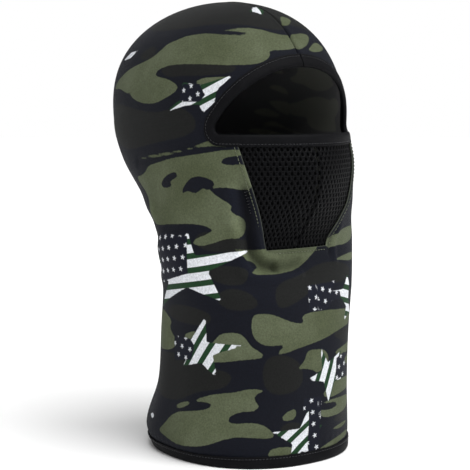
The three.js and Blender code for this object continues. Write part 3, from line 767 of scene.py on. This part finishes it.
CLOTH, REVERSE = camo_cloth(), cloth_reverse()
TAPE, MESH, LINING = black_tape(), black_mesh(), black_lining()
# Each thread's first colour is its painted groove shade and darker flecks, the second its lit
# crest.
GREEN = sewing_thread("green_thread", colour(46, 53, 38), colour(122, 130, 100))
BLACK = sewing_thread("black_thread", colour(16, 17, 20), colour(44, 46, 52))
print("finishes:", [m.name for m in bpy.data.materials])

# %% [markdown]
# ## The hood
#
# The real hood is one piece of cloth, folded at the front of the neck and sewn from the forehead
# over the crown and down the back, with both raw edges turned inside. It is made as two half
# grids. One column of each follows the slanted side of the mesh panel and one row its foot, so
# those edges are clean. Cells under the eye tape and in the mesh window are left out. At the seam
# each half turns in, as a sewn seam does, and the halves join where the cloth is folded.

# %% Creases and folded edges
CREASES = [  # a line of (across, height), how far it stands out, its width, all in mm
    ([(-53, 206), (-51, 192), (-48, 176), (-46, 164), (-43, 157.5), (-36, 152), (-26, 149.6)],
      -4.2, 3.6),
    ([(-26, 149.6), (-14, 149.6), (-2, 151.4)], -2.6, 3.0),
    ([(-41, 200), (-40, 182), (-38, 168), (-34, 158.6), (-25, 155.4)], 1.6, 3.2),
    ([(-62, 206), (-60, 186), (-56, 168), (-54, 158), (-50, 147)], 3.0, 4.4),
    ([(-50, 147), (-40, 143), (-24, 141.6), (-4, 143)], 2.2, 4.0),
    ([(41, 176), (38, 166), (36, 156)], -1.6, 2.6),
    ([(46, 176), (43, 162), (40, 150)], 1.4, 3.0),
    ([(-92, 238), (-126, 232), (-170, 224)], -0.9, 4.0),
    ([(-150, 188), (-200, 190), (-260, 186), (-320, 188)], 1.6, 7.0),
    ([(-140, 168), (-200, 165), (-260, 167), (-320, 165)], -1.6, 6.0),
    ([(150, 188), (200, 184), (260, 190), (320, 188)], 1.6, 7.0),
    ([(140, 164), (200, 168), (260, 164), (320, 165)], -1.6, 6.0),
    ([(-130, 140), (-180, 128), (-250, 118)], 1.0, 5.0),
    ([(120, 142), (190, 126), (250, 116)], 1.0, 5.0),
    ([(-70, 132), (-30, 128), (20, 131), (60, 129)], 0.8, 6.0),
]


def line_distance(x, y, line):
    """Least distance from points to an open line of straight pieces."""
    p = np.stack([x, y], -1)[..., None, :]
    a, b = np.array(line[:-1], float), np.array(line[1:], float)
    side = b - a
    t = np.clip(((p - a) * side).sum(-1) / (side * side).sum(-1), 0, 1)
    return np.linalg.norm(p - a - side * t[..., None], axis=-1).min(-1)


def window_outline():
    """The mesh window in the cloth: a trapezoid from the foot of the mesh to the eye tape."""
    top = mesh_side(EYE_LOW)
    foot = [(-MESH_FOOT_HALF, MESH_FOOT), (MESH_FOOT_HALF, MESH_FOOT)]
    return np.array([*foot, (top, EYE_LOW), (-top, EYE_LOW)])


def hump(distance, width):
    """exp(-(distance / width)^2): 1 at no distance, and soon nothing."""
    return np.exp(-((distance / width) ** 2))


def fold_lift(across, height, creases):
    """The sum over the creases of how far each stands out, times its hump."""
    return sum(d * hump(line_distance(across, height, line), w) for line, d, w in creases)


def beside_seam(distance, sunk, sunk_width, raised, raised_at, raised_width):
    """A seam draws the sheet in and pushes it up on both sides: one hump less another."""
    return raised * hump(distance - raised_at, raised_width) - sunk * hump(distance, sunk_width)


def cloth_lift(across, height, edge):
    """How far the cloth stands out: the creases, which die out at the mesh so that the edge lies
    on it, a doubled strip 6 mm wide along the mesh, and long soft waves down the neck."""
    lift = fold_lift(across, height, CREASES) * smooth(0.0, 5.0, edge)
    lift = lift + 0.7 * smooth(7.0, 5.0, edge) - 0.35 * smooth(0.9, 0.0, edge)
    neck = smooth(150, 70, height)
    waves = 0.9 * np.sin(across / 21 + height / 60) + 0.5 * np.sin(across / 9.3 - height / 33)
    pucker = 0.18 * np.sin(across * 2 * np.pi / 7.5) * smooth(22, 9, height)
    return lift + neck * waves * smooth(2, 20, height) + pucker


# %% [markdown]
# ## The rows and columns of the hood
#
# Rows are closer together over the crown, where the cloth turns in. The print keeps its true
# length over the nape: the form is narrow there, and an angle round it would squeeze the pattern.

# %% Rows and columns
BACK = np.pi * REACH  # across, at the back seam
FRONT_CELLS, SIDE_CELLS = 20, 112
DOME_LENGTH = 130.0  # of cloth, from the widest level to the crown
FOREHEAD_COLUMN = 46.0  # across, where the column beside the mesh goes on over the forehead
SEAM_HALF_GAP = 0.15  # each edge of a seam lies this far from the middle
EYE_TOP = EYE_LOW + EYE_HEIGHT
heights = np.concatenate(
    [
        np.linspace(1.4, MESH_FOOT, 70, endpoint=False),
        np.linspace(MESH_FOOT, WIDEST, 41, endpoint=False),
        WIDEST + (CROWN - WIDEST) * np.sin(np.linspace(0, np.pi / 2, 56)),
    ]
)
side_line = mesh_side(np.clip(heights, MESH_FOOT, EYE_LOW))
side_line = side_line + (FOREHEAD_COLUMN - side_line) * smooth(EYE_LOW, 300, heights)
front_part = np.linspace(0, 1, FRONT_CELLS + 1)[None] * side_line[:, None]
to_back = np.linspace(0, 1, SIDE_CELLS + 1)[None, 1:]
back_part = side_line[:, None] + (BACK - side_line[:, None]) * to_back
half_across = np.concatenate([front_part, back_part], 1)
rise = np.clip((heights - WIDEST) / (CROWN - WIDEST), 0, 1)
over_dome = WIDEST + DOME_LENGTH * np.arcsin(rise) / (np.pi / 2)
along_rows = np.where(heights < WIDEST, heights, over_dome)
window, eye_outline = window_outline(), eye_loop(120)
SEEN = 215.0  # across, from where the print keeps its true width over the nape
bare = bare_form(half_across, np.broadcast_to(heights[:, None], half_across.shape))
true_step = np.linalg.norm(np.diff(bare, axis=1), axis=-1)
over_nape = (half_across[:, 1:] > SEEN) * smooth(290, 250, heights)[:, None]
steps = np.diff(half_across, axis=1) * (1 - over_nape) + true_step * over_nape
start = half_across[:, :1]
print_across = np.concatenate([start, start + np.cumsum(steps, 1)], 1)
print("rows and columns of half the hood:", half_across.shape)

# %% [markdown]
# ## Sewing the two halves
#
# Each half is a grid on the form, moved out by the folds. Its seam columns go on into the hood as
# the turned-in edges, and the halves are welded where the real cloth is only folded.

# %% The two halves of the hood
FIN = np.array([2.2, 4.4, 6.5])  # depths of the columns of the turned-in seam edge


def turned_in(points, normal, column, side):
    """The columns of a seam's edge: points - normal * depth, beside the middle of the hood."""
    fin = points[:, None, column] - normal[:, None, column] * FIN[None, :, None]
    fin[..., 0] = side * SEAM_HALF_GAP
    return fin


def widened(values):
    """The same numbers again for the columns of both turned-in edges."""
    return np.pad(values, ((0, 0), (len(FIN), len(FIN))), mode="edge")


def hood_half(side):
    """One half: points, faces and stored numbers, columns in the order of growing across."""
    across = half_across if side > 0 else -half_across[:, ::-1]
    height = np.broadcast_to(heights[:, None], across.shape)
    edge = outline_distance(across, height, window)
    lift = cloth_lift(across, height, edge)
    to_front = np.where(height > EYE_TOP, np.abs(across), 99.0)
    to_seam = np.minimum(to_front, BACK - np.abs(across))
    lift = lift + beside_seam(to_seam, 1.3, 1.3, 0.35, 3.6, 2.2)
    normal = form_normal(across, np.minimum(height, CROWN - 0.02))
    normal[-1] = (0, 0, 1)
    points = bare_form(across, height) + normal * lift[..., None]
    first, last = (0, -1) if side > 0 else (-1, 0)
    points[:, last, 0] = side * SEAM_HALF_GAP
    points[heights > EYE_TOP, first, 0] = side * SEAM_HALF_GAP
    fins = [turned_in(points, normal, column, side) for column in (first, last)]
    left, right = fins if side > 0 else fins[::-1]
    points = np.concatenate([left[:, ::-1], points, right], 1)
    across, height, edge = widened(across), widened(np.array(height)), widened(edge)
    faces = grid_faces(*across.shape)
    a, h = across.ravel()[faces].mean(1), height.ravel()[faces].mean(1)
    front_fin = (np.abs(a) < 1e-6) & (np.ptp(across.ravel()[faces], axis=1) < 1e-9)
    in_window = (np.abs(a) < mesh_side(h)) & (h > MESH_FOOT) & (h < EYE_LOW)
    in_eye = outline_distance(a, h, eye_outline) < 3.2
    keep = ~(in_window | in_eye | (front_fin & (h < EYE_TOP + 3)))
    unrolled = widened(print_across if side > 0 else -print_across[:, ::-1])
    numbers = print_on(unrolled.ravel(), height.ravel())
    numbers["edge"] = edge.ravel()
    # the creases' lift, which the cloth's material paints as shade in valleys and highlight on
    # ridges
    numbers["fold"] = fold_lift(across.ravel(), height.ravel(), CREASES)
    along = np.broadcast_to(along_rows[:, None], across.shape)
    numbers["knit"] = np.stack([across.ravel(), along.ravel(), 0 * across.ravel()], -1)
    numbers["dots"] = np.pad(numbers["dots"], ((0, 0), (0, 1)))
    return points.reshape(-1, 3), faces[keep], numbers


right_half, left_half = hood_half(-1), hood_half(1)
points = np.concatenate([right_half[0], left_half[0]])
faces = np.concatenate([right_half[1], left_half[1] + len(right_half[0])]).tolist()
stored = {k: np.concatenate([right_half[2][k], left_half[2][k]]) for k in right_half[2]}
hood = make_piece("printed_hood", points, faces, [CLOTH, REVERSE], stored)
weld(hood, 0.05)
thicken(hood, CLOTH_THICKNESS, 1)
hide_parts("camo_hood")
print("hood faces before thickening:", len(hood.data.polygons))

# %% [markdown]
# ## The mesh panels
#
# Spacer mesh is knitted so that small tall holes stand in staggered rows. A bump could fake them,
# but the light that falls through real holes onto the lining is what makes it read as mesh, so
# every hole is cut. One cell of the pattern is drawn once: a six-sided cell whose rim is the crest
# of a strand, sloping down to the edge of a rounded hole and then into it. Copies are laid on the
# form as one array. The two halves meet in a seam down the nose, with their edges turned in.

# %% One mesh cell, repeated
PITCH, ROW_STEP = 4.1, 3.6  # between holes in a row, and between rows
MESH_OUT = -1.3  # the mesh lies this far under the face of the cloth
LINING_OUT, LINING_THICKNESS = -2.9, 0.4
MESH_CREASES = [
    ([(-50, 236), (-47, 210), (-42, 186), (-37, 166)], -0.48, 3.0),
    ([(-30, 168), (-10, 166), (12, 167), (30, 169)], -0.36, 3.0),
]


def mesh_cell(count=12):
    """Rings of a cell as (across, up, out). The rim is the six-sided area nearest to a hole: at
    angle a its distance is the least of pitch/2 / |cos a| and the slanted sides' distance. The
    hole is an ellipse 1.8 wide and 3.2 tall, and its wall goes down half a millimetre."""
    a = (np.arange(count) + 0.5) * 2 * np.pi / count
    slant = np.array([PITCH / 2, ROW_STEP])
    reach = np.minimum(
        PITCH / 2 / np.maximum(np.abs(np.cos(a)), 1e-6),
        (slant @ slant) / 2 / (slant[0] * np.abs(np.cos(a)) + slant[1] * np.abs(np.sin(a))),
    )
    rim = np.stack([reach * np.cos(a), reach * np.sin(a)], -1)
    hole = np.stack([0.9 * np.cos(a), 1.6 * np.sin(a)], -1)
    rings = [(rim, 0.3), (rim * 0.45 + hole * 0.55, 0.18), (hole, -0.1), (hole * 0.98, -0.65)]
    return np.stack([np.concatenate([xy, np.full((count, 1), z)], 1) for xy, z in rings])


def mesh_panel(name, side, node):
    """All cells whose middle lies in one half of the panel, grown to run under the cloth."""
    cell = mesh_cell()
    k, i = np.meshgrid(np.arange(-2, 26), np.arange(-17, 18), indexing="ij")
    middle = np.stack([(i + 0.5 * (k % 2)) * PITCH, MESH_FOOT + k * ROW_STEP], -1).reshape(-1, 2)
    half = middle[:, 0] * side
    inside = (half > -PITCH / 2 + 0.1) & (half < mesh_side(middle[:, 1]) + 3.5)
    inside &= (middle[:, 1] > MESH_FOOT - 4.5) & (middle[:, 1] < EYE_LOW - 3.0)
    middle = middle[inside]
    across = middle[:, None, None, 0] + cell[None, ..., 0]
    height = middle[:, None, None, 1] + cell[None, ..., 1]
    across = np.where(across * side < 0.35, 0.35 * side, across)
    out = MESH_OUT + cell[None, ..., 2] + beside_seam(np.abs(across), 1.4, 1.1, 0.55, 2.6, 1.5)
    out = out + fold_lift(across, height, MESH_CREASES)
    cells, rings, count = across.shape
    faces = grid_faces(rings, count, wrap=True)[:, ::-1]
    faces = (faces[None] + np.arange(cells)[:, None, None] * rings * count).reshape(-1, 4)
    points = on_form(across, height, out).reshape(-1, 3)
    piece = make_piece(name, points, faces.tolist(), [MESH])
    weld(piece, 0.06)
    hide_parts(node)
    return piece


panels = [
    mesh_panel("mesh_panel_right", -1, "right_mesh_panel"),
    mesh_panel("mesh_panel_left", 1, "left_mesh_panel"),
]
print("mesh panel faces:", [len(p.data.polygons) for p in panels])


# %% [markdown]
# ## The lining behind the mesh
#
# A thin backing keeps the mesh off the mouth and is what its holes look dark against. It is a
# plain grid: nothing of it but its colour and weave shows through the holes.

# %% The two linings
def lining_half(name, side, node, rows=44, columns=28):
    """A plain thin sheet behind each mesh half: a grid from the seam to past the mesh's edge."""
    v = np.linspace(MESH_FOOT - 5, EYE_LOW - 1.5, rows)
    u = np.linspace(0, 1, columns) if side > 0 else np.linspace(-1, 0, columns)
    height = np.broadcast_to(v[:, None], (rows, columns))
    across = u[None] * (mesh_side(v)[:, None] + 4)
    across = across + side * 1.8 * (1 - np.abs(u[None]))
    numbers = {"knit": np.stack([across.ravel(), height.ravel(), 0 * across.ravel()], -1)}
    points = on_form(across, height, LINING_OUT).reshape(-1, 3)
    piece = make_piece(name, points, grid_faces(rows, columns).tolist(), [LINING], numbers)
    thicken(piece, LINING_THICKNESS)
    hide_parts(node)
    return piece


linings = [
    lining_half("mesh_lining_right", -1, "right_mesh_lining"),
    lining_half("mesh_lining_left", 1, "left_mesh_lining"),
]
print("lining faces:", [len(lining.data.polygons) for lining in linings])

# %% [markdown]
# ## The two black tapes
#
# Binding tape is folded lengthways over a raw edge, so its section is a narrow U that hugs the
# cloth. The section is listed as distances back from the edge and out from the cloth, and is
# carried along the edge. The tape's own puckers come from the stitching: it is drawn in at each
# stitch, so its outer edge waves a little.

# %% Folded tape
TAPE_SECTION = np.array(  # back from the edge, out from the cloth
    [(7.6, 0.45), (7.75, 0.9), (7.5, 1.15), (6.8, 1.25), (6.0, 1.08), (5.2, 1.3), (3.4, 1.5),
     (1.6, 1.55),
     (0.2, 1.4), (-0.75, 0.8), (-1.1, -0.4), (-0.85, -1.6), (0.1, -2.35), (2.2, -2.55),
     (7.0, -2.45),
     (7.5, -2.1), (7.2, -1.75), (1.4, -1.75), (0.4, -1.4), (0.2, -0.5), (0.4, 0.3), (1.6, 0.5),
     (6.8, 0.45)]
)


def carried_tape(name, across, height, away, drop, section, node):
    """Carry a tape section along an edge: the point at (back, out) lies back * away from the edge
    in (across, height), and out from the cloth. The two ends are closed with a flat face."""
    stations, ring = len(across), len(section)
    length = run_length(np.stack([across, height], -1))
    back, out = section[None, :, 0], section[None, :, 1]
    pucker = 0.14 * np.sin(length * 2 * np.pi / 5.2) + 0.1 * np.sin(length * 2 * np.pi / 13.7)
    back = back + pucker[:, None] * smooth(3, 7, back)
    ripple = 0.1 * np.sin(length * 2 * np.pi / 2.6)[:, None] * hump(back - 6.0, 0.8) * (out > 0)
    a = across[:, None] + away[:, None, 0] * back
    h = height[:, None] + away[:, None, 1] * back
    outer = np.where(out > 0.2, 1.0, 0.0)
    points = on_form(a, h, out - ripple - drop[:, None] * outer * smooth(0.5, 7, back))
    numbers = {"along": np.repeat(length, ring), "side": np.tile(run_length(section), stations)}
    faces = tube_faces(stations, ring)
    piece = make_piece(name, points.reshape(-1, 3), faces, [TAPE], numbers, turn_out=True)
    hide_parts(node)
    return piece


loop = eye_loop(190)
loop = loop if loop[1, 0] > 0 else loop[::-1]
ahead = unit(np.gradient(loop, axis=0))
away = np.stack([-ahead[:, 1], ahead[:, 0]], -1)
away *= np.sign((away * (loop - (0, EYE_LOW + 20))).sum(1, keepdims=True))
loop[0, 0], loop[-1, 0] = 0.5, -0.5
over_mesh = smooth(60, 52, np.abs(loop[:, 0])) * (loop[:, 1] < EYE_LOW + 1)
drop = 1.15 * over_mesh  # the tape's face sinks to the mesh, which lies under the cloth
eye_tape = carried_tape("eye_tape", *loop.T, away, drop, TAPE_SECTION, "eye_binding")

around = np.linspace(-BACK + 0.6, BACK - 0.6, 420)
hem_section = TAPE_SECTION * (1.02, 1.0) + (1.1, 0)
hem_section[:, 0] = np.maximum(hem_section[:, 0], 0.0)
upward = np.tile((0.0, 1.0), (len(around), 1))
level = 0 * around
hem_tape = carried_tape("hem_tape", around, level, upward, level, hem_section, "hem_binding")
print("tape faces:", len(eye_tape.data.polygons), len(hem_tape.data.polygons))

# %% [markdown]
# ## Stitches
#
# A row of machine stitches is a row of short thread lengths that come up out of the cloth, lie on
# it and go down again. Each is a small bowed capsule with a few faces. One is drawn, and copies
# are turned to follow the row: its length along the row, its bow along the cloth's normal.

# %% Rows of stitches
STITCH_SIDES = 6
TOPSTITCH_INSET = 2.8  # from the edge of the cloth to the row beside the mesh
TOPSTITCH = (2.9, 2.2, 0.3)  # pitch, length and radius
TAPE_STITCH = (2.6, 1.9, 0.24)


def resample(points, step):
    """Points at even steps along a line of points, with the line's direction at each."""
    length = run_length(points)
    at = np.arange(step / 2, length[-1], step)
    ahead, behind = points_at(at + 0.4, length, points), points_at(at - 0.4, length, points)
    return points_at(at, length, points), unit(ahead - behind)


def stitch_row(name, across, height, out, sizes, finish, slot, node):
    """Copies of one stitch. A point of it is middle + s length t + bow (1 - 4 s s) n, plus the
    ring r (cos q b + sin q n), where t, n and b run along, out of and across the row."""
    pitch, length, radius = sizes
    line = on_form(across, height, out)
    middle, t = resample(line, pitch)
    lifted = resample(on_form(across, height, np.asarray(out) + 1.0), pitch)[0]
    n = lifted[: len(middle)] - middle[: len(lifted)]
    middle, t = middle[: len(n)], t[: len(n)]
    n = unit(n - (n * t).sum(1, keepdims=True) * t)
    b = np.cross(t, n)
    s = np.array([-0.5, -0.38, -0.15, 0.15, 0.38, 0.5])
    thick = np.array([0.35, 0.85, 1.0, 1.0, 0.85, 0.35]) * radius
    q = np.arange(STITCH_SIDES) * 2 * np.pi / STITCH_SIDES
    bow = radius * 1.3 * (1 - (2 * s) ** 2) - radius * 0.5
    middle, t, n, b = (v[:, None, None] for v in (middle, t, n, b))
    ahead, bow, thick = (v[:, None, None] for v in (s * length, bow, thick))
    ring = np.cos(q)[:, None] * b + np.sin(q)[:, None] * n
    points = middle + ahead * t + bow * n + thick * ring
    count, one = len(middle), tube_faces(len(s), STITCH_SIDES)
    corners = len(s) * STITCH_SIDES
    faces = [[corner + i * corners for corner in face] for i in range(count) for face in one]
    numbers = {
        "along": np.tile(np.repeat(s * length, STITCH_SIDES), count),
        "side": np.tile(q / np.pi, len(s) * count),
    }
    piece = make_piece(name, points.reshape(-1, 3), faces, [finish], numbers, turn_out=True)
    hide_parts(node)
    return piece


rise = np.linspace(MESH_FOOT - TOPSTITCH_INSET, MESH_TOP - 0.5, 60)
slope = np.arctan2(MESH_TOP_HALF - MESH_FOOT_HALF, MESH_TOP - MESH_FOOT)
beside = mesh_side(rise) + TOPSTITCH_INSET / np.cos(slope)
foot, foot_row = np.linspace(-31.5, 31.5, 40), np.full(40, MESH_FOOT - TOPSTITCH_INSET)
eye_row = (loop + away * 6.0).T
hem_row = np.full(len(around), 7.2)
on_eye_tape = 1.1 - 1.1 * over_mesh  # how far out the row lies
green, black = (TOPSTITCH, GREEN, "green_thread"), (TAPE_STITCH, BLACK, "black_thread")
rows = [
    stitch_row(name, *place, out, *kind, node)
    for name, place, out, kind, node in (
        ("topstitch_right", (-beside, rise), 0.75, green, "right_mesh_topstitch"),
        ("topstitch_left", (beside, rise), 0.75, green, "left_mesh_topstitch"),
        ("topstitch_foot", (foot, foot_row), 0.75, green, "lower_mesh_topstitch"),
        ("eye_tape_stitches", eye_row, on_eye_tape, black, "eye_binding_stitch"),
        ("hem_tape_stitches", (around, hem_row), 1.1, black, "hem_binding_stitch"),
    )
]
print("stitch faces:", [len(r.data.polygons) for r in rows])

# %% [markdown]
# ## Overlocked edges inside
#
# Raw edges inside the hood are bound by an overlock machine, whose thread runs round and round
# the edge. It is a helix along the edge: simple, and close to what the thread does.

# %% Overlock threads
OVERLOCK_PITCH, OVERLOCK_RADIUS = 2.3, 0.22
TURN_POINTS, THREAD_SIDES = 9, 5


def overlock(name, centre, side, deep, wide, tall, node):
    """A thread round an edge: centre + wide cos p * side + tall sin p * deep, where p grows by a
    whole turn each pitch, given as a tube with five sides."""
    length = run_length(centre)
    at = np.linspace(0, length[-1], int(length[-1] / OVERLOCK_PITCH * TURN_POINTS))
    c, s, d = (points_at(at, length, v) for v in (centre, side, deep))
    p = (at / OVERLOCK_PITCH * 2 * np.pi)[:, None]
    path = c + wide * np.cos(p) * s + tall * np.sin(p) * d
    tangent = unit(np.gradient(path, axis=0))
    first = np.cos(p) * s + np.sin(p) * d
    first = unit(first - (first * tangent).sum(1, keepdims=True) * tangent)
    second = np.cross(tangent, first)
    q = np.arange(THREAD_SIDES) * 2 * np.pi / THREAD_SIDES
    ring = np.cos(q)[:, None] * first[:, None] + np.sin(q)[:, None] * second[:, None]
    points = (path[:, None] + OVERLOCK_RADIUS * ring).reshape(-1, 3)
    numbers = {"along": np.repeat(at * 3, THREAD_SIDES), "side": np.tile(q / np.pi, len(path))}
    faces = tube_faces(len(path), THREAD_SIDES)
    piece = make_piece(name, points, faces, [BLACK], numbers, turn_out=True)
    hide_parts(node)
    return piece


def edge_frames(across, height, out, sideways):
    """Centre line of an edge, the direction across it and the direction into the hood."""
    centre = on_form(across, height, out)
    inward = -form_normal(across, height)
    return centre, on_form(across + sideways[0], height + sideways[1], out) - centre, inward


SIDEWAYS = (1.0, 0.0, 0.0)
on_back = heights[(heights > 10.5) & (heights < CROWN - 1.5)]
on_front = heights[(heights > EYE_TOP + 9) & (heights < CROWN - 1.5)][::-1]
seam = np.concatenate([np.full(len(on_back), BACK), np.zeros(len(on_front))])
seam_rows = np.concatenate([on_back, on_front])
nose, nose_rows = np.zeros(40), np.linspace(MESH_FOOT - 5, MESH_TOP - 1, 40)
for name, a, h, out, wide, tall, node in (
    ("overlock_back_seam", seam, seam_rows, -5.6, 1.9, 1.7, "back_seam_overlock"),
    ("overlock_nose_seam", nose, nose_rows, -7.2, 1.7, 1.6, "nose_seam_overlock"),
):
    c, s, d = on_form(a, h, out), np.tile(SIDEWAYS, (len(a), 1)), -form_normal(a, h)
    overlock(name, c, s, d, wide, tall, node)
lap = np.linspace(MESH_FOOT - 3, MESH_TOP - 2, 50)
for side, word in ((-1, "right"), (1, "left")):
    c, s, d = edge_frames(side * (mesh_side(lap) + 5.0), lap, -2.6, (1.0, 0.0))
    overlock(f"overlock_mesh_{word}", c, s, d, 1.7, 0.9, f"{word}_mesh_overlock")
foot = np.linspace(-29, 29, 40)
c, s, d = edge_frames(foot, np.full(40, MESH_FOOT - 4.6), -2.6, (0.0, 1.0))
overlock("overlock_mesh_foot", c, s, d, 1.6, 0.9, "lower_mesh_overlock")

# %% [markdown]
# ## How the cloth was cut
#
# The hood was cut from one flat piece about 48 cm round and 40 cm long, less the corners rounded
# off over the crown, the eye opening and the mesh window. Each mesh half and its lining were cut
# as a slanted piece. All of them are held stretched by the head.

# %% [markdown]
# ## Camera, floor and light
#
# The view is from the wearer's front right, a little above the middle, through a long lens, which
# keeps the upright lines of the neck nearly level with each other.

# %% Camera
TURN, TILT, AWAY = np.radians(-36.21), np.radians(5.7), 1.1205
AIM = np.array([0.0, 0.0, -0.172])
towards = np.array([np.sin(TURN) * np.cos(TILT), -np.cos(TURN) * np.cos(TILT), np.sin(TILT)])

lens = bpy.data.cameras.new("camera")
lens.sensor_width, lens.lens = 36.0, 107.3
lens.shift_x, lens.shift_y = 0.0145, -0.0304
lens.clip_start, lens.clip_end = 0.05, 20
camera = bpy.data.objects.new("camera", lens)
camera.location = AIM + towards * AWAY
camera.rotation_euler = Vector((-towards).tolist()).to_track_quat("-Z", "Y").to_euler()
bpy.context.scene.collection.objects.link(camera)
bpy.context.scene.camera = camera


# %% [markdown]
# ## Floor and light
#
# A product photograph on white has a pale floor and hardly any shadow. One very broad light from
# the front and above shapes the cloth, four weak ones fill the sides, and an even sky fills the
# rest: it is bright where the camera sees it and dim where it lights the cloth.

# %% Floor and lights
FLOOR_HEIGHT = -0.3471
SKY_SEEN, SKY_FILL = 1.0, 0.23


def link_light(name, lamp, place, towards):
    """Put a lamp in the scene, turned so that it shines along a direction."""
    light = bpy.data.objects.new(name, lamp)
    light.location = place
    light.rotation_euler = Vector(towards).to_track_quat("-Z", "Y").to_euler()
    bpy.context.scene.collection.objects.link(light)


def plain_floor():
    """A flat pale disc just under the hem, wide enough to fill the view."""
    q = np.linspace(0, 2 * np.pi, 65)[:-1]
    edge = np.stack([6 * np.cos(q), 6 * np.sin(q), np.full(64, FLOOR_HEIGHT)], -1)
    mesh = bpy.data.meshes.new("floor")
    mesh.from_pydata(edge.tolist(), [], [tuple(range(64))])
    f = Finish("floor")
    base = f.mix(f.noise(3.0, 2.0), colour(252, 252, 252), colour(254, 254, 254))
    relief = f.bump(f.noise(60, 2.0), 0.02, 0.001)
    mesh.materials.append(f.finish(base, relief, 0.95, specular=0.0))
    floor = bpy.data.objects.new("floor", mesh)
    bpy.context.scene.collection.objects.link(floor)


def soft_light(name, place, size, power):
    """A square area light that faces the middle of the mask."""
    lamp = bpy.data.lights.new(name, "AREA")
    lamp.size, lamp.energy = size, power
    link_light(name, lamp, place, Vector((0, 0, -0.17)) - Vector(place))


plain_floor()
sun = bpy.data.lights.new("broad window", "SUN")
sun.energy, sun.angle = 3.1, np.radians(60)
link_light("broad window", sun, (0, 0, 0), (-0.1, 0.55, -1.3))
soft_light("above", (0.25, -1.1, 1.2), 0.8, 4)
soft_light("front left", (-1.7, -0.8, 0.3), 0.7, 4)
soft_light("front right", (1.3, -1.2, 0.0), 0.6, 3)
soft_light("behind", (0.6, 1.6, 0.8), 1.2, 5)
world = bpy.data.worlds.new("studio")
bpy.context.scene.world = world
world.use_nodes = True
sky = world.node_tree.nodes["Background"]
sky.inputs["Color"].default_value = (1, 1, 1, 1)
seen = world.node_tree.nodes.new("ShaderNodeLightPath")
strength = world.node_tree.nodes.new("ShaderNodeMapRange")
strength.inputs[3].default_value, strength.inputs[4].default_value = SKY_FILL, SKY_SEEN
world.node_tree.links.new(seen.outputs["Is Camera Ray"], strength.inputs[0])
world.node_tree.links.new(strength.outputs[0], sky.inputs["Strength"])
bpy.context.scene.view_settings.view_transform = "Standard"
print("lights:", [light.name for light in bpy.data.lights])
